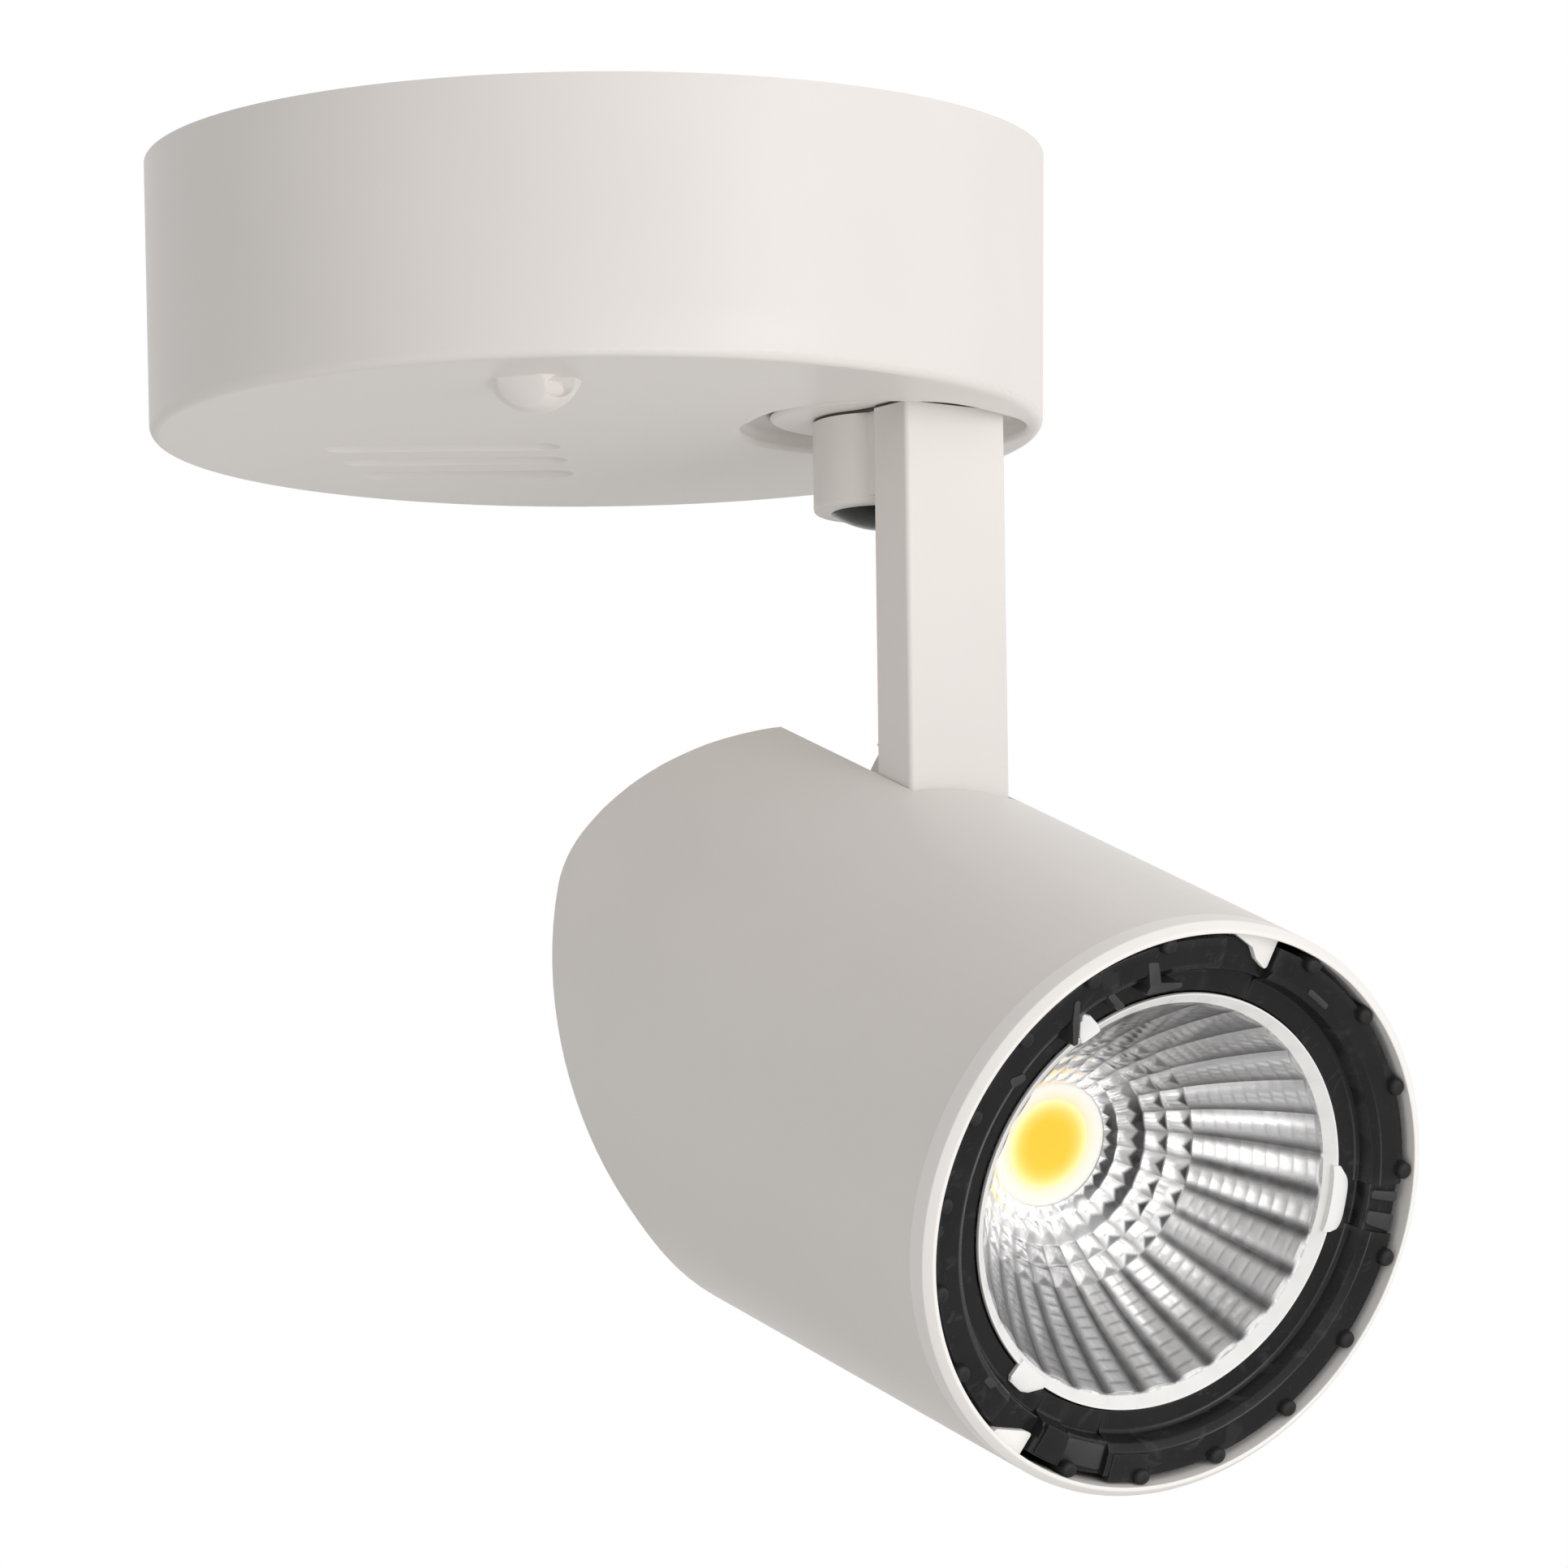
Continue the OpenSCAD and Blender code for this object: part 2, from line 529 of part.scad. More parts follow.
module tilt_bracket() color(zinc) at_head() difference() {
  union() {
    translate([-52, -10.7, -7.5]) cube([2, 21.4, 28]);
    for (s = [-1, 1]) translate([0, s * 9.65 - 1, 0]) {
      translate([pt, 0, pn - 7.5]) cube([-50 - pt, 2, 15]);
      translate([pt, 1, pn]) rotate([90, 0, 0]) cylinder(r = 7.5, h = 2, center = true);
    }
  }
  translate([pt, 0, pn]) rotate([90, 0, 0]) cylinder(r = 2.55, h = 40, center = true);
  for (s = [-1, 1]) translate([0, s * 5.5, -3]) lie() translate([0, 0, -54]) cylinder(r = 1.6, h = 6);
}

module bracket_screws() color(zinc) at_head() for (s = [-1, 1]) translate([0, s * 5.5, -3]) difference() {
  union() {
    lie() translate([0, 0, -52]) cylinder(r = 1.55, h = 11);
    lie() translate([0, 0, -54]) cylinder(r = 2.8, h = 2);
  }
  for (a = [0, 90]) rotate([a, 0, 0]) translate([-55, -1.7, -0.35]) cube([2, 3.4, 0.7]);
}

module tilt_bolt() color(zinc) at_head() translate([pt, 0, pn]) rotate([-90, 0, 0]) difference() {
  union() {
    translate([0, 0, -11]) cylinder(r = 2.5, h = 26.4);
    translate([0, 0, -13.4]) cylinder(r = 4.3, h = 2.75);
  }
  translate([0, 0, -14]) cylinder(r = 2.3, h = 2, $fn = 6);
}

module tilt_nut() color(zinc) at_head() translate([pt, 0, pn]) rotate([-90, 0, 0]) difference() {
  translate([0, 0, 10.65]) cylinder(r = 4.6, h = 4, $fn = 6);
  cylinder(r = 2.52, h = 20);
}

module tilt_washers() color(nylon) at_head() translate([pt, 0, pn]) rotate([-90, 0, 0])
  for (z = [-arm_w / 2 - 0.46, arm_w / 2 + 0.06]) translate([0, 0, z]) difference() {
    cylinder(r = 5.5, h = 0.4);
    translate([0, 0, -1]) cylinder(r = 2.55, h = 3);
  }

module tube_screws() color(zinc) at_head() for (a = [100, 180]) round_head(a, 0, -33) rotate([-a, 0, 0]) difference() {
  union() {
    translate([0, 0, 30]) cylinder(r = 1.08, h = hr - 0.9 - 30);
    translate([0, 0, hr - 0.9]) cylinder(r = 2.4, h = 0.8);
  }
  translate([-1.5, -0.3, hr - 0.5]) cube([3, 0.6, 2]);
}

module head_leads() at_head() for (s = [-1, 1]) color(s < 0 ? [0.75, 0.08, 0.06] : black)
  run([[-30.6, 1.1 * s, -10.6], [-56, 1.1 * s, -10.6], [-63, 1.1 * s, -8], [-67, 1.1 * s, -2]], 0.8);

canopy_shell();
ceiling_bracket();
fixing_pillar();
canopy_screw();
canopy_screw_cap();
driver_case();
driver_lid();
driver_board();
driver_transformer();
driver_capacitors();
driver_screws();
terminal_block();
terminal_screws();
earth_screw();
earth_tag();
cable_grommet();
mains_leads();
output_leads();
swivel_bush();
stop_pin();
swivel_arm();
arm_wire_cover();
arm_leads();
boss_plug();
hollow_stem();
swivel_collar();
tab_washer();
spring_washer();
stem_nut();
head_tube();
rear_cover();
heat_sink();
led_board();
light_disc();
led_holder();
holder_screws();
reflector();
front_ring();
tilt_bracket();
bracket_screws();
tilt_bolt();
tilt_nut();
tilt_washers();
tube_screws();
head_leads();
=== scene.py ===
import json
import math

import bmesh
import bpy
import numpy as np
from mathutils import Matrix, Vector


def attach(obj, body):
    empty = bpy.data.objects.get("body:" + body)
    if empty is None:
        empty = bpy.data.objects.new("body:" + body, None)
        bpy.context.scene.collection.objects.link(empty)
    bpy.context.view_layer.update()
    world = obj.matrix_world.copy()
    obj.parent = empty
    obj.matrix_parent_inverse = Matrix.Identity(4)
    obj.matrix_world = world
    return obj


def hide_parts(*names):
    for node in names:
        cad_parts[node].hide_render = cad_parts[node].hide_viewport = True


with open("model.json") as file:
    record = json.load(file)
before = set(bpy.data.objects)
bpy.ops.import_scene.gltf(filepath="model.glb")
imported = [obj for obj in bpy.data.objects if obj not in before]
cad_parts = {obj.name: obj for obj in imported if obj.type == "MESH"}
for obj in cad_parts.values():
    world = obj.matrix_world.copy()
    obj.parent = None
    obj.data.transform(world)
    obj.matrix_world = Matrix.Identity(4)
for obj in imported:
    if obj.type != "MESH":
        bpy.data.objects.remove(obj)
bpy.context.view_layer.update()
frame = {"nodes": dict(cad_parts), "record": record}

NODES = frame["nodes"]
SCENE = bpy.context.scene
SCENE.view_settings.view_transform = "Standard"

# ------------------------------------------------------------------ frames
# All shapes are drawn in millimetres and turned into metres when made.
PAN = math.radians(-54.7)
TILT = math.radians(22.4)
U = np.array([math.cos(PAN), math.sin(PAN), 0.0])      # from the turning axis towards the head
E = np.array([-math.sin(PAN), math.cos(PAN), 0.0])     # across the arm and head
Z = np.array([0.0, 0.0, 1.0])
D = U * math.cos(TILT) - Z * math.sin(TILT)            # along the head, forwards
N = U * math.sin(TILT) + Z * math.cos(TILT)            # up from the head's axis
PIVOT = np.array([38.5, 0.0, 0.0])
BOLT = PIVOT + 12.7 * U - 113.7 * Z
HEAD = BOLT + 58.0 * D - 12.9 * N
HR, HI = 38.7, 37.2                                    # tube radii
ZU = -37.2                                             # canopy underside


def at_arm(p):
    p = np.asarray(p, float)
    return PIVOT + p[..., :1] * U + p[..., 1:2] * E + p[..., 2:3] * Z


def at_head(p):
    """p is (along, across, up) from the centre of the lip."""
    p = np.asarray(p, float)
    return HEAD + p[..., :1] * D + p[..., 1:2] * E + p[..., 2:3] * N


def polar(t, r, a):
    """A place on the head: t along, r from the axis, a in radians from the top towards +E."""
    t, r, a = np.broadcast_arrays(np.asarray(t, float), r, a)
    return at_head(np.stack([t, r * np.sin(a), r * np.cos(a)], -1))


# ------------------------------------------------------------------ meshes
def make(name, verts, faces, body, mats, index=None, sharp=32.0, tidy=True, flip_check=True):
    """A mesh piece from points in millimetres."""
    me = bpy.data.meshes.new(name)
    me.from_pydata([tuple(v) for v in np.asarray(verts, float) * 0.001], [], [list(f) for f in faces])
    for m in mats if isinstance(mats, (list, tuple)) else [mats]:
        me.materials.append(m)
    if index is not None:
        me.polygons.foreach_set("material_index", np.asarray(index, np.int32))
    bm = bmesh.new()
    bm.from_mesh(me)
    if tidy:
        bmesh.ops.remove_doubles(bm, verts=bm.verts, dist=2e-7)
    if flip_check:
        bmesh.ops.recalc_face_normals(bm, faces=bm.faces)
    bm.to_mesh(me)
    bm.free()
    me.polygons.foreach_set("use_smooth", [True] * len(me.polygons))
    if sharp is not None:
        me.set_sharp_from_angle(angle=math.radians(sharp))
    o = bpy.data.objects.new(name, me)
    SCENE.collection.objects.link(o)
    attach(o, body)
    return o


def soft(points, r=0.3, n=4, radii=None):
    """A closed outline with its corners rounded."""
    pts = [np.array(p, float) for p in points]
    out = []
    for i, p in enumerate(pts):
        a, b = pts[i - 1], pts[(i + 1) % len(pts)]
        ra = r if radii is None else radii[i]
        va, vb = a - p, b - p
        la, lb = np.linalg.norm(va), np.linalg.norm(vb)
        if ra <= 0 or la < 1e-6 or lb < 1e-6:
            out.append(p)
            continue
        va, vb = va / la, vb / lb
        ang = math.acos(max(-1, min(1, float(va @ vb))))
        if ang > math.radians(176):
            out.append(p)
            continue
        t = min(ra / math.tan(ang / 2), 0.46 * la, 0.46 * lb)
        rr = t * math.tan(ang / 2)
        c = p + (va + vb) / np.linalg.norm(va + vb) * rr / math.sin(ang / 2)
        s, e = p + va * t - c, p + vb * t - c
        sweep = math.pi - ang
        cross = s[0] * e[1] - s[1] * e[0]
        sign = 1 if cross > 0 else -1
        for k in range(n + 1):
            w = sign * sweep * k / n
            out.append(c + np.array([s[0] * math.cos(w) - s[1] * math.sin(w), s[0] * math.sin(w) + s[1] * math.cos(w)]))
    return np.array(out)


def ring_mesh(profile, place, seg, a0=0.0, a1=2 * math.pi):
    """Sweeps a closed (r, t) outline round an axis, all the way or from a0 to a1 with ends."""
    full = abs(a1 - a0 - 2 * math.pi) < 1e-9
    ang = np.linspace(a0, a1, seg + 1)[: seg if full else seg + 1]
    prof = np.asarray(profile, float)
    m = len(prof)
    pts = place(prof[None, :, 1], prof[None, :, 0], ang[:, None]).reshape(-1, 3)
    faces = []
    rows = len(ang)
    for i in range(rows if full else rows - 1):
        j = (i + 1) % rows
        for k in range(m):
            l = (k + 1) % m
            faces.append((i * m + k, i * m + l, j * m + l, j * m + k))
    if not full:
        faces.append(tuple(range(m)))
        faces.append(tuple((rows - 1) * m + k for k in range(m))[::-1])
    return pts, faces


def join(parts):
    verts, faces, base = [], [], 0
    for v, f in parts:
        verts.append(np.asarray(v, float))
        faces += [tuple(i + base for i in q) for q in f]
        base += len(v)
    return np.concatenate(verts), faces


def plug_mesh(profile, place, seg, axis_points=True):
    """Sweeps an open (r, t) line whose two ends are on the axis."""
    prof = np.asarray(profile, float)
    ang = np.linspace(0, 2 * math.pi, seg, endpoint=False)
    inner = prof[1:-1]
    m = len(inner)
    pts = place(inner[None, :, 1], inner[None, :, 0], ang[:, None]).reshape(-1, 3)
    ends = place(np.array([prof[0, 1], prof[-1, 1]]), np.zeros(2), np.zeros(2)).reshape(-1, 3)
    pts = np.concatenate([pts, ends])
    top, bottom = len(pts) - 2, len(pts) - 1
    faces = []
    for i in range(seg):
        j = (i + 1) % seg
        faces.append((top, i * m, j * m))
        faces.append((bottom, j * m + m - 1, i * m + m - 1))
        for k in range(m - 1):
            faces.append((i * m + k, i * m + k + 1, j * m + k + 1, j * m + k))
    return pts, faces


def arm_round(t, r, a):
    t, r, a = np.broadcast_arrays(np.asarray(t, float), r, a)
    return at_arm(np.stack([r * np.cos(a), r * np.sin(a), t], -1))


# ------------------------------------------------------------------ materials
def new_mat(name):
    m = bpy.data.materials.new(name)
    m.use_nodes = True
    nt = m.node_tree
    return m, nt, nt.nodes["Principled BSDF"]


class Net:
    """Short calls for building node trees."""

    def __init__(self, nt):
        self.nt = nt
        self.pos = self.add("ShaderNodeTexCoord").outputs["Object"]

    def add(self, kind, **inputs):
        n = self.nt.nodes.new(kind)
        for k, v in inputs.items():
            if k in n.inputs:
                if hasattr(v, "is_output"):
                    self.nt.links.new(v, n.inputs[k])
                else:
                    n.inputs[k].default_value = v
        return n

    def link(self, a, b):
        self.nt.links.new(a, b)

    def noise(self, scale, detail=3.0, rough=0.5, distort=0.0, vec=None):
        n = self.add("ShaderNodeTexNoise", Scale=scale, Detail=detail, Roughness=rough, Distortion=distort)
        self.link(vec or self.pos, n.inputs["Vector"])
        return n.outputs["Fac"]

    def ramp(self, fac, stops, colour=False):
        n = self.add("ShaderNodeValToRGB")
        self.link(fac, n.inputs["Fac"])
        el = n.color_ramp.elements
        while len(el) < len(stops):
            el.new(0.5)
        for e, (p, c) in zip(el, stops):
            e.position = p
            e.color = (c, c, c, 1) if not hasattr(c, "__len__") else (*c, 1)
        return n.outputs["Color"]

    def math(self, op, a, b=None, c=None):
        n = self.nt.nodes.new("ShaderNodeMath")
        n.operation = op
        for i, v in enumerate((a, b, c)):
            if v is None:
                continue
            if hasattr(v, "is_output"):
                self.link(v, n.inputs[i])
            else:
                n.inputs[i].default_value = v
        return n.outputs[0]

    def span(self, fac, lo, hi, a=0.0, b=1.0):
        n = self.add("ShaderNodeMapRange")
        self.link(fac, n.inputs["Value"])
        n.inputs["From Min"].default_value, n.inputs["From Max"].default_value = lo, hi
        n.inputs["To Min"].default_value, n.inputs["To Max"].default_value = a, b
        return n.outputs["Result"]

    def mix(self, fac, a, b, mode="MIX"):
        n = self.nt.nodes.new("ShaderNodeMix")
        n.data_type = "RGBA"
        n.blend_type = mode
        for sock, v in ((n.inputs[0], fac), (n.inputs[6], a), (n.inputs[7], b)):
            if hasattr(v, "is_output"):
                self.link(v, sock)
            elif isinstance(v, (int, float)):
                sock.default_value = v
            else:
                sock.default_value = (*v, 1)
        return n.outputs[2]

    def bump(self, height, strength, distance, normal=None):
        n = self.add("ShaderNodeBump", Strength=strength, Distance=distance)
        self.link(height, n.inputs["Height"])
        if normal is not None:
            self.link(normal, n.inputs["Normal"])
        return n.outputs["Normal"]

    def moved(self, scale=(1, 1, 1), turn=(0, 0, 0), place=(0, 0, 0)):
        n = self.add("ShaderNodeMapping")
        self.link(self.pos, n.inputs["Vector"])
        n.inputs["Scale"].default_value = scale
        n.inputs["Rotation"].default_value = turn
        n.inputs["Location"].default_value = place
        return n.outputs["Vector"]

    def edges(self, lo=0.50, hi=0.56):
        g = self.add("ShaderNodeNewGeometry")
        return self.span(g.outputs["Pointiness"], lo, hi)


def powder(name, base=(0.845, 0.82, 0.79), rough=0.40):
    m, nt, b = new_mat(name)
    k = Net(nt)
    broad = k.noise(18, 4, 0.55)
    fine = k.noise(900, 3, 0.6)
    tone = k.mix(k.span(broad, 0.3, 0.7), tuple(c * 0.975 for c in base), tuple(min(1, c * 1.02) for c in base))
    specks = k.ramp(k.noise(3800, 2, 0.5), [(0.0, 0.0), (0.70, 0.0), (0.78, 1.0)])
    tone = k.mix(k.math("MULTIPLY", specks, 0.10), tone, tuple(c * 0.72 for c in base))
    k.link(tone, b.inputs["Base Color"])
    k.link(k.math("ADD", k.span(broad, 0.3, 0.7, rough - 0.03, rough + 0.05), k.span(fine, 0.3, 0.7, -0.03, 0.03)), b.inputs["Roughness"])
    peel = k.noise(1500, 2, 0.45)
    grain = k.noise(5200, 2, 0.5)
    nrm = k.bump(peel, 0.10, 0.00006)
    k.link(k.bump(grain, 0.10, 0.00003, nrm), b.inputs["Normal"])
    b.inputs["Specular IOR Level"].default_value = 0.45
    return m


def black_gloss(name, base=(0.0085, 0.0085, 0.0092), rough0=0.26):
    m, nt, b = new_mat(name)
    k = Net(nt)
    broad = k.noise(60, 4, 0.6, 0.4)
    smear = k.ramp(k.noise(1.0, 4, 0.62, 0.8, k.moved((150, 420, 260), (0.5, 0.2, 0.9))), [(0.0, 0.0), (0.58, 0.0), (0.74, 1.0)])
    scratch = k.ramp(k.noise(1.0, 2, 0.5, 0.2, k.moved((4200, 90, 700), (0.3, 0.7, 0.4))), [(0.0, 0.0), (0.67, 0.0), (0.71, 1.0)])
    dust = k.ramp(k.noise(2600, 2, 0.5), [(0.0, 0.0), (0.70, 0.0), (0.78, 1.0)])
    col = k.mix(k.span(broad, 0.3, 0.7), base, tuple(c * 1.5 for c in base))
    col = k.mix(k.math("MULTIPLY", smear, 0.16), col, (0.16, 0.16, 0.17))
    col = k.mix(k.math("MULTIPLY", dust, 0.12), col, (0.20, 0.20, 0.19))
    col = k.mix(k.math("MULTIPLY", k.edges(0.505, 0.57), 0.10), col, (0.12, 0.12, 0.12))
    k.link(col, b.inputs["Base Color"])
    rough = k.math("ADD", k.span(broad, 0.3, 0.7, rough0 - 0.05, rough0 + 0.05), k.math("MULTIPLY", smear, 0.20))
    k.link(k.math("ADD", rough, k.math("MULTIPLY", scratch, 0.12)), b.inputs["Roughness"])
    nrm = k.bump(k.noise(700, 2, 0.5), 0.12, 0.0001)
    k.link(k.bump(scratch, 0.2, 0.00003, nrm), b.inputs["Normal"])
    b.inputs["Specular IOR Level"].default_value = 0.33
    return m


def rubber(name, base=(0.030, 0.030, 0.032)):
    m, nt, b = new_mat(name)
    k = Net(nt)
    k.link(k.mix(k.noise(220, 4, 0.6), tuple(c * 0.8 for c in base), tuple(c * 1.5 for c in base)), b.inputs["Base Color"])
    k.link(k.span(k.noise(900, 2), 0.3, 0.7, 0.55, 0.72), b.inputs["Roughness"])
    k.link(k.bump(k.noise(2600, 3, 0.6), 0.25, 0.00008), b.inputs["Normal"])
    return m


def plated(name):
    """Mirror-plated plastic, darker and duller where a mesh attribute paints shade into its creases and a painted
    reflection onto some sides of the bowl.
    """
    m, nt, b = new_mat(name)
    k = Net(nt)
    haze = k.noise(120, 4, 0.6)
    tone = k.mix(haze, (0.965, 0.965, 0.97), (0.99, 0.99, 0.995))
    # painted shade and painted reflection: the plating is mixed towards near black and made rougher where the attribute
    # is high
    painted_shade = k.add("ShaderNodeAttribute")
    painted_shade.attribute_name = "painted_shade"
    shade_fac = k.math("MULTIPLY", painted_shade.outputs["Fac"], k.span(k.noise(600, 3), 0.3, 0.7, 0.9, 1.0))
    tone = k.mix(shade_fac, tone, (0.045, 0.045, 0.05))
    k.link(tone, b.inputs["Base Color"])
    b.inputs["Metallic"].default_value = 1.0
    rough = k.math("ADD", k.span(haze, 0.3, 0.7, 0.10, 0.15), k.math("MULTIPLY", k.ramp(k.noise(3000, 2), [(0, 0), (0.7, 0), (0.8, 1)]), 0.12))
    k.link(k.math("ADD", rough, k.math("MULTIPLY", shade_fac, 0.25)), b.inputs["Roughness"])
    k.link(k.bump(k.noise(1600, 2, 0.5), 0.05, 0.00005), b.inputs["Normal"])
    return m


def plastic(name, base, rough=0.42, grain=1800, vary=0.06, dirt=0.1):
    m, nt, b = new_mat(name)
    k = Net(nt)
    tone = k.mix(k.noise(90, 4, 0.6), tuple(c * (1 - vary) for c in base), tuple(min(1, c * (1 + vary)) for c in base))
    tone = k.mix(k.math("MULTIPLY", k.ramp(k.noise(340, 5, 0.65), [(0, 0), (0.6, 0), (0.8, 1)]), dirt), tone, tuple(c * 0.55 for c in base))
    tone = k.mix(k.math("MULTIPLY", k.edges(), 0.25), tone, tuple(min(1, c * 1.25 + 0.02) for c in base))
    k.link(tone, b.inputs["Base Color"])
    k.link(k.span(k.noise(500, 3), 0.3, 0.7, rough - 0.05, rough + 0.07), b.inputs["Roughness"])
    k.link(k.bump(k.noise(grain, 2, 0.5), 0.15, 0.00006), b.inputs["Normal"])
    return m


def metal(name, base, rough, brushed=None, spangle=0.0, vary=0.08, cast=False):
    m, nt, b = new_mat(name)
    k = Net(nt)
    b.inputs["Metallic"].default_value = 1.0
    tone = k.mix(k.noise(140, 5, 0.65), tuple(c * (1 - vary) for c in base), tuple(min(1, c * (1 + vary)) for c in base))
    if spangle:
        v = k.add("ShaderNodeTexVoronoi", Scale=420.0)
        k.link(k.pos, v.inputs["Vector"])
        tone = k.mix(spangle, tone, v.outputs["Color"], "SOFT_LIGHT")
    tone = k.mix(k.math("MULTIPLY", k.edges(0.505, 0.57), 0.4), tone, tuple(min(1, c * 1.2) for c in base))
    k.link(tone, b.inputs["Base Color"])
    vec = k.moved(brushed) if brushed else None
    fine = k.noise(1.0 if brushed else 1300, 3, 0.6, 0.0, vec)
    k.link(k.span(fine, 0.25, 0.75, rough - 0.08, rough + 0.10), b.inputs["Roughness"])
    if cast:
        k.link(k.bump(k.noise(1100, 4, 0.7), 0.5, 0.00012), b.inputs["Normal"])
    else:
        k.link(k.bump(fine, 0.12, 0.00003), b.inputs["Normal"])
    return m


def light_gel(name, centre):
    """Clear gel over yellow phosphor, paler towards its rim."""
    m, nt, b = new_mat(name)
    k = Net(nt)
    d = k.add("ShaderNodeVectorMath")
    d.operation = "DISTANCE"
    k.link(k.pos, d.inputs[0])
    d.inputs[1].default_value = tuple(centre * 0.001)
    far = k.span(d.outputs["Value"], 0.0, 0.0064)
    col = k.ramp(far, [(0.0, (1.0, 0.50, 0.026)), (0.50, (1.0, 0.51, 0.030)), (0.70, (1.0, 0.57, 0.08)), (0.86, (1.0, 0.72, 0.26)), (1.0, (0.97, 0.86, 0.52))], True)
    glow = k.ramp(far, [(0.0, (1.0, 0.49, 0.02)), (0.55, (1.0, 0.51, 0.03)), (0.80, (1.0, 0.68, 0.20)), (1.0, (0.97, 0.88, 0.58))], True)
    k.link(glow, b.inputs["Emission Color"])
    grit = k.noise(5200, 2, 0.6)
    col = k.mix(k.span(grit, 0.35, 0.75, 0.0, 0.10), col, (0.99, 0.62, 0.14))
    k.link(col, b.inputs["Base Color"])
    b.inputs["Roughness"].default_value = 0.35
    k.link(k.span(k.noise(300, 2), 0.3, 0.7, 0.30, 0.42), b.inputs["Roughness"])
    b.inputs["Coat Weight"].default_value = 0.35
    b.inputs["Coat Roughness"].default_value = 0.12
    k.link(k.bump(grit, 0.12, 0.00004), b.inputs["Normal"])
    b.inputs["Emission Strength"].default_value = 0.35
    return m


def glow_white(name, centre):
    """White plastic round the light, with painted yellow light close to the disc and a faint painted glow all over."""
    m, nt, b = new_mat(name)
    k = Net(nt)
    d = k.add("ShaderNodeVectorMath")
    d.operation = "DISTANCE"
    k.link(k.pos, d.inputs[0])
    d.inputs[1].default_value = tuple(centre * 0.001)
    # painted light from the disc: yellow close to it, fading to white
    col = k.ramp(k.span(d.outputs["Value"], 0.0062, 0.0088), [(0.0, (0.965, 0.88, 0.60)), (0.45, (0.965, 0.93, 0.82)), (1.0, (0.965, 0.96, 0.95))], True)
    k.link(k.mix(k.span(k.noise(900, 3), 0.3, 0.7, 0.0, 0.04), col, (0.8, 0.79, 0.76)), b.inputs["Base Color"])
    k.link(k.span(k.noise(500, 3), 0.3, 0.7, 0.36, 0.46), b.inputs["Roughness"])
    k.link(k.bump(k.noise(2400, 2), 0.12, 0.00004), b.inputs["Normal"])
    # painted glow: the skirt emits a little of its own colour though it is no lamp
    k.link(col, b.inputs["Emission Color"])
    b.inputs["Emission Strength"].default_value = 0.10
    return m


def board(name, base, line):
    """Solder mask with copper runs under it."""
    m, nt, b = new_mat(name)
    k = Net(nt)
    v = k.add("ShaderNodeTexVoronoi", Scale=260.0)
    v.feature = "DISTANCE_TO_EDGE"
    v.distance = "MANHATTAN" if hasattr(v, "distance") else v.distance
    k.link(k.pos, v.inputs["Vector"])
    run = k.ramp(v.outputs["Distance"], [(0.0, 1.0), (0.06, 1.0), (0.09, 0.0)])
    tone = k.mix(k.math("MULTIPLY", run, 0.55), base, line)
    k.link(k.mix(k.math("MULTIPLY", k.noise(400, 3), 0.25), tone, tuple(c * 0.7 for c in base)), b.inputs["Base Color"])
    k.link(k.span(k.noise(800, 2), 0.3, 0.7, 0.28, 0.40), b.inputs["Roughness"])
    k.link(k.bump(run, 0.3, 0.00005), b.inputs["Normal"])
    return m


PAINT = powder("warm_white_powder_coat", (0.86, 0.832, 0.806))
BLACK = black_gloss("black_moulded_plastic")
RUBBER = rubber("black_rubber", (0.050, 0.046, 0.044))
PLATED = plated("plated_reflector")
HOLDER = plastic("white_holder_plastic", (0.955, 0.95, 0.94), 0.42, 2400, 0.01, 0.02)
BOARDW = plastic("white_board", (0.86, 0.86, 0.84), 0.32, 3000, 0.02, 0.05)
ALU = metal("cast_aluminium", (0.66, 0.665, 0.67), 0.42, cast=True)
ZINC = metal("zinc_plated_steel", (0.70, 0.71, 0.725), 0.30, spangle=0.25)
BRASS = metal("machined_brass", (0.78, 0.58, 0.26), 0.30, brushed=(300, 300, 5200))
NYLON = plastic("natural_white_plastic", (0.82, 0.815, 0.77), 0.46, 1500, 0.03, 0.08)
GREEN = board("green_board", (0.028, 0.155, 0.065), (0.10, 0.30, 0.12))
CORE = plastic("dark_core", (0.055, 0.052, 0.05), 0.6, 900, 0.2, 0.2)
CAN = plastic("blue_sleeve", (0.035, 0.065, 0.22), 0.30, 2200, 0.08, 0.05)
LEADM = plastic("mains_insulation", (0.16, 0.075, 0.035), 0.38, 2600, 0.08, 0.05)
LEADR = plastic("red_insulation", (0.46, 0.030, 0.022), 0.36, 2600, 0.08, 0.05)
TABWHITE = plastic("bright_tab", (0.93, 0.93, 0.925), 0.30, 2600, 0.02, 0.03)
# A lighter, greyer copy of the black plastic for small blocks on the ring: painted highlight standing in for the grey
# glints on them.
HIGHLIGHT_BLACK = black_gloss("black_plastic_painted_highlight", (0.034, 0.034, 0.036), 0.40)
MATT = black_gloss("matt_black_plastic", (0.008, 0.008, 0.009), 0.55)
# A lighter copy of the powder coat for the tube's lip and the lugs inside it: a painted highlight, so the rim reads
# brighter than the rest of the tube.
LIP_HIGHLIGHT = powder("rim_painted_highlight", (0.95, 0.935, 0.915), 0.38)
GEL = light_gel("phosphor_gel", at_head([-28.9, 0, 0]))
SKIRT = glow_white("white_skirt_painted_glow", at_head([-28.9, 0, 0]))

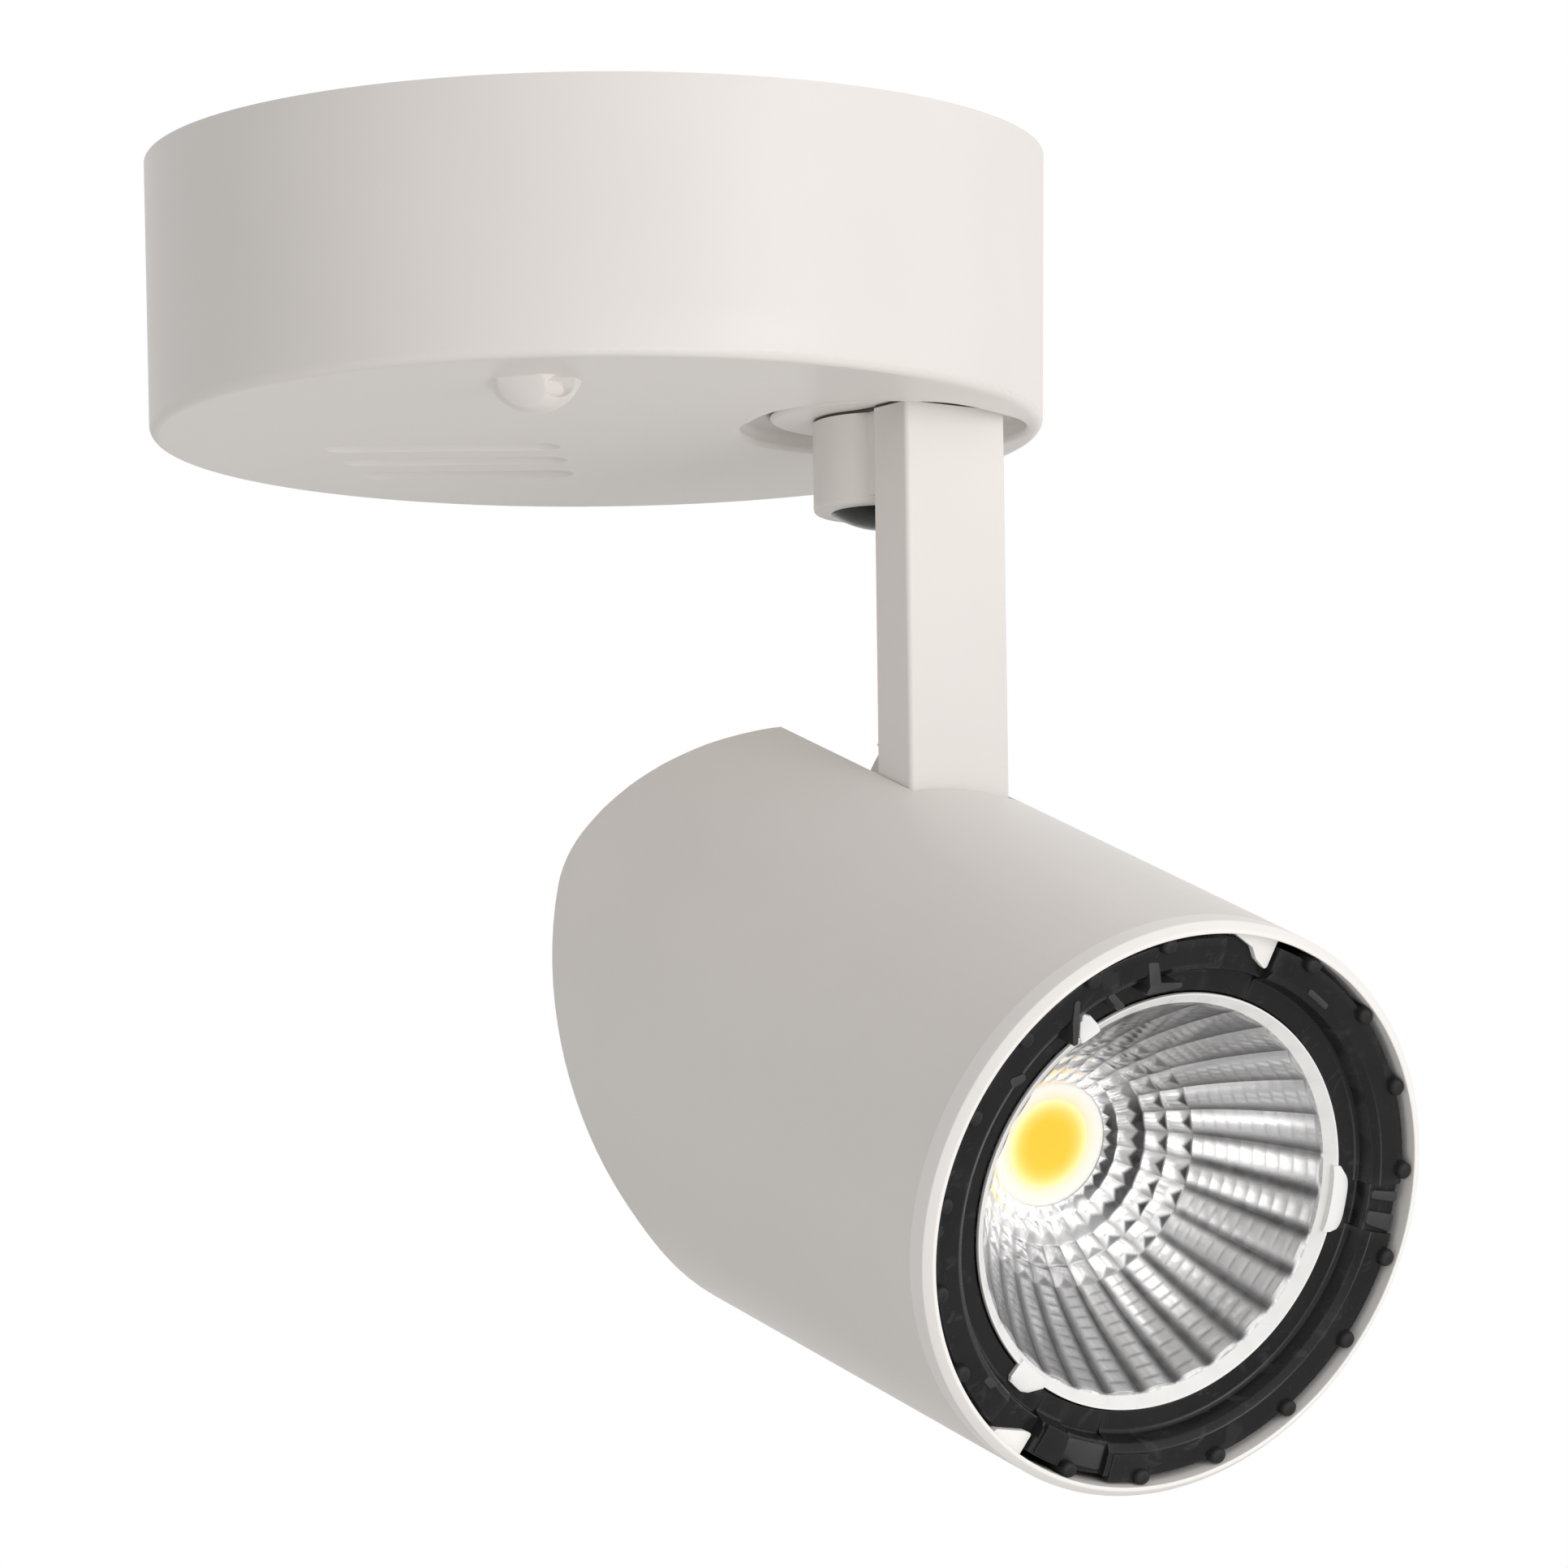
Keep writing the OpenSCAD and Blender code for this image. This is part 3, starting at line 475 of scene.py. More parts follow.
BY_SLOT = {
    "white_paint": PAINT, "black_plastic": BLACK, "black_rubber": RUBBER, "reflector_silver": PLATED,
    "light_yellow": GEL, "holder_white": HOLDER, "board_white": BOARDW, "aluminium": ALU,
    "zinc_steel": ZINC, "brass": BRASS, "nylon_white": NYLON, "board_green": GREEN, "core_dark": CORE,
    "can_blue": CAN, "lead_mains": LEADM, "lead_red_black": LEADR,
}
SLOT_OF = {s["node"]: s["material_slot"] for s in frame["record"]["subparts"]}
for name, o in NODES.items():
    o.data.materials.clear()
    o.data.materials.append(BY_SLOT[SLOT_OF[name]])

# ------------------------------------------------------------------ reflector
CELLS = 30
CELL0 = math.radians(7.2)
ROWS = [8.5, 10.05, 12.75, 14.8, 16.95] + [16.95 + 9.55 * i / 10 for i in range(1, 11)]
STEPS = [9, 14, 12, 12] + [5] * 10
# where the painted shade of each short cell begins: on its middle line, and how much later at its sides
DARK = [(0.06, 0.34), (0.44, 0.20), (0.56, 0.42), (0.60, 0.44)]


def bowl_t(r):
    return -28.4 + (r * r - 72.25) / 26.0


def smooth_step(x, lo, hi):
    x = np.clip((x - lo) / (hi - lo), 0, 1)
    return x * x * (3 - 2 * x)


def reflector():
    sub_a = 14
    na = CELLS * sub_a
    ang = CELL0 + (np.arange(na) / sub_a - 0.5) * 2 * math.pi / CELLS
    a = 2 * ((np.arange(na) % sub_a) / sub_a) - 1
    rr, hh, border_shade, crisp, cell = [], [], [], [], []
    for i in range(len(ROWS) - 1):
        r0, r1 = ROWS[i], ROWS[i + 1]
        n = STEPS[i]
        length = math.hypot(r1 - r0, bowl_t(r1) - bowl_t(r0))
        # the long flutes are fluted across as well, but more gently
        lift = 0.046 * length if i < 4 else 0.010 * length
        for k in range(n):
            w = k / n
            rr.append(r0 + (r1 - r0) * w)
            hh.append(lift * (1 - (2 * w - 1) ** 2))
            # the long flutes get painted shade along their row borders
            edge = min(w, 1 - w) * (r1 - r0)
            if i < 4:
                border_shade.append(0.0)
            else:
                border_shade.append(0.40 * math.exp(-(edge / 0.17) ** 2))
            cell.append((i, w))
            crisp.append(k == 0)
    rr.append(ROWS[-1]); hh.append(0.0); border_shade.append(0.2); crisp.append(True); cell.append((99, 0.0))
    rr, hh, border_shade = np.array(rr), np.array(hh), np.array(border_shade)
    # the inner ends of the short cells are slightly rounded
    curl = 0.06 * smooth_step(rr, 8.5, 9.5) * (1 - smooth_step(rr, 17.0, 19.0))
    RB = rr[None, :] + curl[None, :] * (a[:, None] ** 2)
    width = 2 * math.pi * RB / CELLS
    lift = 0.050 * width * (1 - a[:, None] ** 2) + hh[None, :]
    slope = 2 * RB / 26.0
    R = RB - lift * slope / np.hypot(1, slope)
    T = bowl_t(RB) + lift / np.hypot(1, slope)
    R[:, -1], T[:, -1] = 26.5, bowl_t(26.5)
    m = len(rr)
    inner = polar(T, R, ang[:, None]).reshape(-1, 3)
    # painted shade in the creases: between flutes, between rows
    side = smooth_step(np.abs(a), 0.28, 0.94)[:, None] * (0.22 + 0.48 * smooth_step(rr, 13, 18))[None, :]
    # painted reflection: less shade towards the top of the bowl, more low down and on the right in the far rows
    high = np.exp(-(((np.degrees(ang) - 10 + 180) % 360 - 180) / 48.0) ** 2)[:, None]
    low = np.exp(-(((np.degrees(ang) - 155 + 180) % 360 - 180) / 50.0) ** 2)[:, None]
    far = smooth_step(rr, 14, 18)[None, :]
    right = np.exp(-(((np.degrees(ang) - 84 + 180) % 360 - 180) / 34.0) ** 2)[:, None]
    side = side * (1 - 0.70 * high + 0.12 * low) + (0.14 * low + 0.24 * right) * far
    dark = np.maximum(side, border_shade[None, :] * (1 - 0.35 * np.abs(a)[:, None]) * (1 + 0.5 * low - 0.5 * high))
    # the painted shade arcs are deep on one side of the disc, a painted reflection, and break up into pale scales round
    # the rest
    phi = np.degrees(ang) % 360
    deep = smooth_step(phi, 28, 62) * (1 - smooth_step(phi, 118, 160))
    for k, (i, w) in enumerate(cell):
        if i < 4:
            w0, later = DARK[i]
            arc = smooth_step(w - (w0 + later * np.abs(a)), -0.06, 0.12)
            least = (0.16, 0.42, 0.56, 0.62)[i]
            groove = (0.10, 0.30, 0.42, 0.48)[i] * smooth_step(np.abs(a), 0.40, 1.0)
            dark[:, k] = np.maximum(np.maximum(0.35 * dark[:, k], arc * (least + (1.0 - least) * deep)), groove)
    # painted shade at the outer edge of the bowl
    dark[:, -1] = 0.25
    faces, sharp_pairs = [], []
    for i in range(na):
        j = (i + 1) % na
        for k in range(m - 1):
            faces.append((i * m + k, i * m + k + 1, j * m + k + 1, j * m + k))
            if i % sub_a == 0:
                sharp_pairs.append((i * m + k, i * m + k + 1))
            if crisp[k]:
                sharp_pairs.append((i * m + k, j * m + k))
    rim = soft([(26.5, bowl_t(26.5)), (27.85, -2.90), (28.05, -2.85), (28.1, -3.38), (27.1, -4.1), (26.95, -5.6)],
               radii=[0, 0.22, 0.12, 0.1, 0.3, 0.2], n=4)
    outer = [(r + 0.9, bowl_t(r)) for r in np.linspace(25.6, 8.6, 16)] + [(9.4, -28.4)]
    line = np.array([tuple(p) for p in rim] + outer + [(8.5, -28.4)])
    q, base = len(line), len(inner)
    strip = polar(line[None, :, 1], line[None, :, 0], ang[:, None]).reshape(-1, 3)
    for i in range(na):
        j = (i + 1) % na
        for k in range(q - 1):
            faces.append((base + i * q + k, base + i * q + k + 1, base + j * q + k + 1, base + j * q + k))
    verts = np.concatenate([inner, strip])
    shade = np.concatenate([dark.ravel(), np.zeros(len(strip))])
    # three locking tabs with slanted sides: (start, end at the rim, start, end at the tip, tip radius)
    parts = [(verts, faces)]
    for a0, a1, b0, b1, tip in ((76.4, 95.2, 80.4, 93.6, 29.75), (204.8, 216.4, 209.6, 215.8, 30.4), (318.4, 324.8, 321.0, 323.2, 30.5)):
        rows = [(27.2, 0.0), (28.3, 0.1), (tip - 0.5, 0.8), (tip, 1.0)]
        top, low = [], []
        n = 12
        for r, w in rows:
            s0, s1 = a0 + (b0 - a0) * w, a1 + (b1 - a1) * w
            if r == tip:
                s0, s1 = s0 + 0.8, s1 - 0.8
            an = np.radians(np.linspace(s0, s1, n))
            edge = np.linspace(-1, 1, n)
            drop = 0.18 * np.abs(edge) ** 6 + (0.25 if r == tip else 0.0)
            top.append(polar(-2.55 - drop, r, an))
            low.append(polar(-3.37, r, an))
        grid = np.concatenate(top + low)
        fs = []
        half = len(rows) * n
        for i in range(len(rows) - 1):
            for k in range(n - 1):
                p = i * n + k
                fs.append((p, p + 1, p + n + 1, p + n))
                fs.append((half + p, half + p + n, half + p + n + 1, half + p + 1))
        loop = [k for k in range(n)] + [i * n + n - 1 for i in range(1, len(rows))] + [(len(rows) - 1) * n + k for k in range(n - 2, -1, -1)] + [i * n for i in range(len(rows) - 2, 0, -1)]
        for i in range(len(loop)):
            p, p2 = loop[i], loop[(i + 1) % len(loop)]
            fs.append((p, p + half, p2 + half, p2))
        parts.append((grid, fs))
        shade = np.concatenate([shade, np.zeros(len(grid))])
    verts, faces = join(parts)
    bright = len(rim)
    index = [0] * (na * (m - 1)) + [1 if k < bright - 3 else 0 for i in range(na) for k in range(q - 1)]
    index += [1] * (len(faces) - len(index))
    o = make("reflector_bowl", verts, faces, "head", [PLATED, TABWHITE], index=index, sharp=None, tidy=False, flip_check=False)
    me = o.data
    # the painted shade and painted reflection amounts, read by the plating material
    at = me.attributes.new("painted_shade", "FLOAT", "POINT")
    at.data.foreach_set("value", shade.astype(np.float32))
    bm = bmesh.new()
    bm.from_mesh(me)
    bm.verts.ensure_lookup_table()
    for p, p2 in sharp_pairs:
        e = bm.edges.get((bm.verts[p], bm.verts[p2]))
        if e:
            e.smooth = False
    bmesh.ops.remove_doubles(bm, verts=bm.verts, dist=2e-7)
    bmesh.ops.recalc_face_normals(bm, faces=bm.faces)
    for e in bm.edges:
        if len(e.link_faces) == 2 and e.calc_face_angle(0) > math.radians(35):
            e.smooth = False
    bm.to_mesh(me)
    bm.free()
    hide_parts("reflector")
    return o


reflector()

# ------------------------------------------------------------------ light disc
v, f = plug_mesh([(0, -28.72)] + [(r, -28.72 - 0.16 * (r / 6.35) ** 4) for r in np.linspace(0.8, 6.2, 8)] + [(6.35, -28.98), (6.35, -29.5), (0, -29.5)], polar, 96)
disc = make("phosphor_disc", v, f, "head", GEL, sharp=50)
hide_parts("light_disc")


def holder():
    """The exact holder with the white skirt that closes the gap round the light."""
    me = NODES["led_holder"].data
    body = np.array([x.co for x in me.vertices]) * 1000
    bf = [tuple(p.vertices) for p in me.polygons]
    skirt = soft([(6.05, -28.90), (6.05, -28.80), (8.62, -28.56), (8.62, -29.6), (7.6, -29.6)], radii=[0.05, 0.10, 0.05, 0.05, 0.05], n=3)
    part = ring_mesh(skirt, polar, 120)
    v, f = join([(body, bf), part])
    o = make("light_holder", v, f, "head", [HOLDER, SKIRT], index=[0] * len(bf) + [1] * len(part[1]), sharp=30)
    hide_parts("led_holder")


holder()

# ------------------------------------------------------------------ black front ring
def arc_block(outline, t0, t1, r=0.12, n=3):
    """A block over an outline given as (degrees, radius), from t0 up to t1, its upper edge eased."""
    pts = soft([(math.radians(d) * 34.0, rr) for d, rr in outline], r=0.3, n=3)
    c = pts.mean(0)
    layers = [(t0, 0.0), (t1 - r, 0.0)] + [(t1 - r + r * math.sin(w), r * (1 - math.cos(w))) for w in np.linspace(0, math.pi / 2, n + 1)[1:]]
    rings = []
    for t, inset in layers:
        v = pts - c
        q = c + v * (1 - inset / np.maximum(np.linalg.norm(v, axis=1, keepdims=True), 0.2))
        rings.append(polar(t, q[:, 1], q[:, 0] / 34.0))
    m = len(pts)
    verts = np.concatenate(rings)
    faces = []
    for i in range(len(rings) - 1):
        for k in range(m):
            l = (k + 1) % m
            faces.append((i * m + k, i * m + l, (i + 1) * m + l, (i + 1) * m + k))
    faces.append(tuple(range(m))[::-1])
    faces.append(tuple((len(rings) - 1) * m + k for k in range(m)))
    return verts, faces


def front_ring():
    full = soft([(28.2, -4.9), (28.2, -3.4), (31.2, -3.3), (31.95, -0.85), (32.9, -0.10), (35.2, -0.02), (36.25, -0.12),
                 (36.25, -30.9), (34.7, -30.9), (34.7, -4.9)],
                radii=[0.2, 0.35, 0.8, 0.7, 0.6, 0.6, 0.15, 0.2, 0.2, 0.3], n=5)
    low = soft([(28.2, -4.9), (28.2, -3.4), (31.55, -3.4), (31.75, -2.0), (36.2, -2.0), (36.2, -30.9), (34.7, -30.9), (34.7, -4.9)],
               radii=[0.2, 0.35, 0.3, 0.3, 0.25, 0.2, 0.2, 0.3], n=4)
    dip = soft([(28.2, -4.9), (28.2, -3.4), (31.55, -3.4), (31.75, -0.95), (32.4, -0.85), (35.2, -0.85), (36.2, -0.95),
                (36.2, -30.9), (34.7, -30.9), (34.7, -4.9)],
               radii=[0.2, 0.35, 0.3, 0.35, 0.3, 0.3, 0.25, 0.2, 0.2, 0.3], n=4)
    parts, index = [], []

    def put(part, mat=0):
        parts.append(part)
        index.extend([mat] * len(part[1]))

    # (from, to, which outline)
    spans = [(13.0, 81.5, full), (81.5, 92.5, dip), (92.5, 182.5, full), (182.5, 194.5, dip), (194.5, 202.8, full), (202.8, 215.5, low), (215.5, 358.5, full), (358.5, 373.0, low)]
    for a0, a1, prof in spans:
        put(ring_mesh(prof, polar, max(4, int((a1 - a0) / 1.4)), math.radians(a0), math.radians(a1)))
    # ribs that centre the ring in the tube
    for i in range(19):
        a = math.radians(40.5 + i * 360 / 19)
        c = at_head([0, 36.15 * math.sin(a), 36.15 * math.cos(a)]) - HEAD
        side_e = math.cos(a) * E - math.sin(a) * N
        side_r = math.sin(a) * E + math.cos(a) * N

        def place(t, r, w, c=c, side_e=side_e, side_r=side_r):
            t, r, w = np.broadcast_arrays(np.asarray(t, float), r, w)
            return HEAD + c + t[..., None] * D + (1.12 * r * np.cos(w))[..., None] * side_e + (r * np.sin(w))[..., None] * side_r
        if i in (9, 17):
            line = [(0, -2.2), (0.8, -2.25), (1.05, -2.6), (1.05, -8.0), (1.05, -30.6), (0.9, -30.8), (0, -30.8)]
        else:
            line = [(0, 1.02), (0.45, 1.0), (0.78, 0.90), (0.97, 0.70), (1.05, 0.4), (1.05, -8.0), (1.05, -30.6), (0.9, -30.8), (0, -30.8)]
        put(plug_mesh(line, place, 20), 2)
    # small raised bars, hooks and a block on the face; most take a lighter, greyer black as a painted highlight
    put(arc_block([(24.6, 32.75), (31.6, 32.6), (31.6, 33.4), (24.6, 33.55)], -0.4, 0.12), 1)
    put(arc_block([(195.2, 31.9), (202.0, 31.9), (202.0, 36.0), (195.2, 36.0)], -1.5, 0.22))
    put(arc_block([(171.5, 33.2), (181.0, 33.2), (181.0, 36.9), (171.5, 36.9)], -1.5, 0.10))
    put(arc_block([(183.2, 32.3), (194.0, 32.3), (194.0, 35.6), (183.2, 35.6)], -1.2, -0.62), 1)
    put(arc_block([(82.6, 32.0), (84.6, 32.0), (85.6, 36.0), (83.4, 36.0)], -1.2, -0.25), 1)
    put(arc_block([(87.6, 31.9), (90.8, 31.9), (92.2, 36.1), (88.4, 36.1)], -1.2, -0.35), 1)
    put(arc_block([(313.6, 29.6), (315.2, 29.5), (319.2, 33.2), (320.6, 34.6), (319.2, 34.8), (316.6, 32.6)], -3.5, 0.10), 1)
    put(arc_block([(336.6, 30.2), (347.6, 30.0), (347.6, 30.7), (341.4, 31.2), (341.2, 34.2), (338.6, 34.6), (338.4, 31.2)], -3.5, 0.06), 1)
    put(arc_block([(329.4, 29.6), (331.6, 29.6), (329.2, 32.4), (327.4, 32.4)], -3.5, -0.6), 1)
    put(arc_block([(221.0, 32.6), (224.6, 33.0), (224.6, 34.0), (221.8, 33.8)], -0.4, 0.10), 1)
    put(arc_block([(296.0, 32.8), (299.6, 31.8), (300.6, 32.6), (297.4, 34.0)], -0.8, 0.08), 1)
    v, f = join(parts)
    o = make("ribbed_ring", v, f, "head", [BLACK, HIGHLIGHT_BLACK, MATT], index=index, sharp=40)
    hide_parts("front_ring")


front_ring()


# ------------------------------------------------------------------ softened copies of the exact pieces
def cad_copy(name, node, cut=None):
    """The exact piece's own mesh, welded; cut = (point, direction): what lies beyond is removed and capped."""
    me = NODES[node].data.copy()
    bm = bmesh.new()
    bm.from_mesh(me)
    bmesh.ops.remove_doubles(bm, verts=bm.verts, dist=1e-6)
    if cut:
        p, d = cut
        got = bmesh.ops.bisect_plane(bm, geom=bm.verts[:] + bm.edges[:] + bm.faces[:], plane_co=Vector(p * 0.001), plane_no=Vector(d), clear_outer=True, dist=1e-7)
        rim = [g for g in got["geom_cut"] if isinstance(g, bmesh.types.BMEdge)]
        bmesh.ops.bridge_loops(bm, edges=rim)
    bmesh.ops.recalc_face_normals(bm, faces=bm.faces)
    bm.to_mesh(me)
    bm.free()
    me.name = name
    return me


def from_mesh(me, name, body, mats, sharp=30):
    me.materials.clear()
    for m in mats:
        me.materials.append(m)
    me.polygons.foreach_set("use_smooth", [True] * len(me.polygons))
    me.set_sharp_from_angle(angle=math.radians(sharp))
    o = bpy.data.objects.new(name, me)
    SCENE.collection.objects.link(o)
    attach(o, body)
    return o


def head_tube():
    me = cad_copy("lamp_tube", "head_tube", (HEAD - 2.6 * D, D))
    lip = soft([(HI, -2.6), (HI, 1.30), (HR - 0.98, 1.30), (HR, 0.22), (HR, -2.6)], radii=[0, 0.16, 0.30, 0.34, 0], n=5)
    lip = [tuple(q) for q in lip]
    v1, f1 = ring_mesh(lip, polar, 240)
    # two wedge lugs inside the mouth that hold the ring
    lugs = [arc_block([(361.6, 36.6), (366.6, 35.3), (368.6, 33.9), (371.8, 33.0), (372.3, 33.4), (372.4, 37.6), (361.6, 37.6)], -2.4, -1.05),
            arc_block([(203.4, 34.0), (205.4, 34.2), (212.0, 36.3), (212.4, 37.6), (203.4, 37.6)], -2.4, -1.05)]
    v, f = join([(v1, f1)] + lugs)
    body = np.array([x.co for x in me.vertices]) * 1000
    bf = [tuple(p.vertices) for p in me.polygons]
    v, f2 = join([(body, bf), (v, f)])
    # the lip ring and the lugs take the lighter copy of the paint, a painted highlight
    index = [0] * len(bf) + [1] * len(f)
    o = make("lamp_tube", v, f2, "head", [PAINT, LIP_HIGHLIGHT], index=index, sharp=30, tidy=False)
    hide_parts("head_tube")


head_tube()


def solid(name, verts, faces):
    me = bpy.data.meshes.new(name)
    me.from_pydata([tuple(v) for v in np.asarray(verts, float) * 0.001], [], [list(f) for f in faces])
    bm = bmesh.new()
    bm.from_mesh(me)
    bmesh.ops.remove_doubles(bm, verts=bm.verts, dist=2e-7)
    bmesh.ops.recalc_face_normals(bm, faces=bm.faces)
    bm.to_mesh(me)
    bm.free()
    return me


def carve(me, cutters):
    """The mesh with the cutters taken away from it."""
    o = bpy.data.objects.new("carved", me)
    SCENE.collection.objects.link(o)
    tools = []
    for i, (v, f) in enumerate(cutters):
        t = bpy.data.objects.new("cutter%d" % i, solid("cutter%d" % i, v, f))
        SCENE.collection.objects.link(t)
        tools.append(t)
        mod = o.modifiers.new("cut%d" % i, "BOOLEAN")
        mod.operation, mod.solver, mod.object = "DIFFERENCE", "EXACT", t
    bpy.context.view_layer.update()
    dg = bpy.context.evaluated_depsgraph_get()
    out = bpy.data.meshes.new_from_object(o.evaluated_get(dg))
    for t in tools + [o]:
        data = t.data
        bpy.data.objects.remove(t)
        bpy.data.meshes.remove(data)
    return out


def loft(rings):
    """A closed solid through outlines with the same number of points."""
    m = len(rings[0])
    faces = []
    for i in range(len(rings) - 1):
        for k in range(m):
            l = (k + 1) % m
            faces.append((i * m + k, i * m + l, (i + 1) * m + l, (i + 1) * m + k))
    faces.append(tuple(range(m))[::-1])
    faces.append(tuple((len(rings) - 1) * m + k for k in range(m)))
    return np.concatenate(rings), faces


def canopy():
    me = cad_copy("canopy_body", "canopy_shell")
    cutters = []
    # the swivel pocket's lip is eased, most where the underside is widest
    seg = 144
    pr = 19.2
    rows = []
    for i in range(seg):
        w = 2 * math.pi * i / seg
        room = -38.5 * math.cos(w) + math.sqrt(58.6 ** 2 - (38.5 * math.sin(w)) ** 2) - pr
        near = max(0.0, -math.sin(w - 0.12))
        f = float(smooth_step(np.array(room), 0.9, 14.0)) * float(smooth_step(np.array(near), 0.12, 0.92))
        a, b = 0.45 + 5.4 * f, 0.5 + 1.05 * f
        line = [(pr - 0.6, -0.6), (pr + a * 0.88, -0.6)]
        for q in np.linspace(0.12, 1.0, 12):
            line.append((pr + a * (1 - q), b * (1 - math.sqrt(1 - q * q * 0.9999))))
        line.append((pr - 0.6, b))
        rows.append(np.array([(PIVOT[0] + r * math.cos(w), r * math.sin(w), ZU + z) for r, z in line]))
    m = len(rows[0])
    faces = []
    for i in range(seg):
        j = (i + 1) % seg
        for k in range(m):
            l = (k + 1) % m
            faces.append((i * m + k, i * m + l, j * m + l, j * m + k))
    cutters.append((np.concatenate(rows), faces))
    # slots with broken edges
    for i in range(3):
        x0, y0 = -36 + 2.2 * i + 2.1, 9 + 11.0 * i
        x1 = x0 + 30 - 1.5 * i - 4.2

        def stadium(r, z):
            pts = [(x1 + r * math.cos(t), y0 + r * math.sin(t)) for t in np.linspace(-math.pi / 2, math.pi / 2, 17)]
            pts += [(x0 + r * math.cos(t), y0 + r * math.sin(t)) for t in np.linspace(math.pi / 2, 3 * math.pi / 2, 17)]
            return np.array([(x, y, ZU + z) for x, y in pts])
        cutters.append(loft([stadium(2.1 + o, z) for z, o in ((-0.4, 1.3), (0.0, 0.90), (0.45, 0.40), (0.90, -0.03))]))
    out = carve(me, cutters)
    out.name = "canopy_body"
    o = from_mesh(out, "canopy_body", "base", [PAINT], 28)
    # the flat underside keeps its own shading
    me = o.data
    flat = [abs(q.center.z * 1000 - ZU) < 0.004 and q.normal.z < -0.9999 for q in me.polygons]
    owner = {}
    for q, is_flat in zip(me.polygons, flat):
        for key in q.edge_keys:
            owner.setdefault(key, []).append(is_flat)
    for e in me.edges:
        kinds = owner.get(tuple(sorted(e.vertices)), [])
        if len(kinds) == 2 and kinds[0] != kinds[1]:
            e.use_edge_sharp = True
    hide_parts("canopy_shell")


canopy()


def screw_cap():
    c = np.array([-7.3, -40.6, ZU])
    big = 6.66
    dome = [(6.15, 0.0)] + [(math.sqrt(max(0.0, big * big - (2.56 - z) ** 2)), z) for z in np.linspace(-0.25, -4.0, 16)] + [(0.0, -4.1)]
    inner = [(0.0, -2.25), (3.3, -2.25), (3.55, -2.0), (3.55, 0.0)]
    seg = 96
    line = dome[:-1]
    ang = np.linspace(0, 2 * math.pi, seg, endpoint=False)
    prof = line[::-1] + inner[1:][::-1]
    m = len(prof)
    verts = [np.array([c[0] + r * math.cos(q), c[1] + r * math.sin(q), ZU + z]) for q in ang for r, z in prof]
    verts += [np.array([c[0], c[1], ZU - 4.1]), np.array([c[0], c[1], ZU - 2.25])]
    top, low = len(verts) - 2, len(verts) - 1
    faces = []
    for i in range(seg):
        j = (i + 1) % seg
        faces.append((top, i * m, j * m))
        faces.append((low, j * m + m - 1, i * m + m - 1))
        for k in range(m - 1):
            faces.append((i * m + k, i * m + k + 1, j * m + k + 1, j * m + k))
    me = solid("domed_cap", verts, faces)
    # flattened towards the room
    n = np.array([-0.30, -0.72, -0.62])
    n = n / np.linalg.norm(n)
    u = np.cross(n, Z)
    u = u / np.linalg.norm(u)
    t = np.cross(n, u)
    at = c + n * 4.22
    ring = np.array([at + u * x + t * y for x, y in ((-9, -9), (9, -9), (9, 9), (-9, 9))])
    flat = loft([ring, ring + n * 6])
    # finger notch on the right
    w = math.radians(-48)
    ax = np.array([math.cos(w), math.sin(w), 0.0])
    e1 = np.cross(ax, Z)
    o = c + np.array([0, 0, -1.35]) + ax * 3.62
    circle = [e1 * 2.2 * math.cos(q) + Z * 1.25 * math.sin(q) for q in np.linspace(0, 2 * math.pi, 33)[:-1]]
    notch = loft([np.array([o + v * 0.85 for v in circle]), np.array([o + ax * 4 + v * 1.6 for v in circle])])
    out = carve(me, [flat, notch])
    out.name = "domed_cap"
    o = from_mesh(out, "domed_cap", "base", [PAINT], 40)
    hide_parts("canopy_screw_cap")


screw_cap()


def collar():
    """Collar over the boss, with a thin black rubber band under it that fills the gap as a dark line of painted shade.
    """
    zt = ZU + 1.0
    disc = soft([(5.03, zt + 0.42), (14.6, zt + 0.42), (15.18, zt + 0.75), (15.18, zt + 1.05), (14.7, zt + 1.4), (5.03, zt + 1.4)],
                radii=[0.05, 0.2, 0.25, 0.25, 0.25, 0.05], n=4)
    one = ring_mesh(disc, arm_round, 120)
    # outline of boss and bar together, a little inside theirs
    pts = [(9.25 * math.cos(q), 9.25 * math.sin(q)) for q in np.linspace(math.radians(62), math.radians(298), 60)]
    pts += [(x, y) for x, y in soft([(8.95, -8.0), (16.45, -8.0), (16.45, 8.0), (8.95, 8.0)], 0.7, 5)]
    ring = np.array(pts)
    # painted shade: a thin dark band under the collar stands in for the shadow in the gap
    dark_shade_band = loft([at_arm(np.c_[ring, np.full(len(ring), z)]) for z in (zt + 0.005, zt + 0.40)])
    v, f = join([one, dark_shade_band])
    o = make("boss_collar", v, f, "arm", [PAINT, RUBBER], index=[0] * len(one[1]) + [1] * len(dark_shade_band[1]), sharp=30)
    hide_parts("swivel_collar")


collar()

# ------------------------------------------------------------------ camera
cam = bpy.data.cameras.new("camera")
cam_o = bpy.data.objects.new("camera", cam)
SCENE.collection.objects.link(cam_o)
pitch, roll = math.radians(8.0376), math.radians(-0.6698)
fwd = np.array([0, math.cos(pitch), math.sin(pitch)])
right0, up0 = np.array([1.0, 0, 0]), np.array([0, -math.sin(pitch), math.cos(pitch)])
right = math.cos(roll) * right0 + math.sin(roll) * up0
up = math.cos(roll) * up0 - math.sin(roll) * right0
cam_o.matrix_world = Matrix([[right[i], up[i], -fwd[i], (24.64, -1475.48, -293.23)[i] * 0.001] for i in range(3)] + [[0, 0, 0, 1]])
cam.sensor_width = 36.0
cam.lens = 13729.6 / 1932 * 36.0
cam.clip_start, cam.clip_end = 0.05, 40
SCENE.camera = cam_o

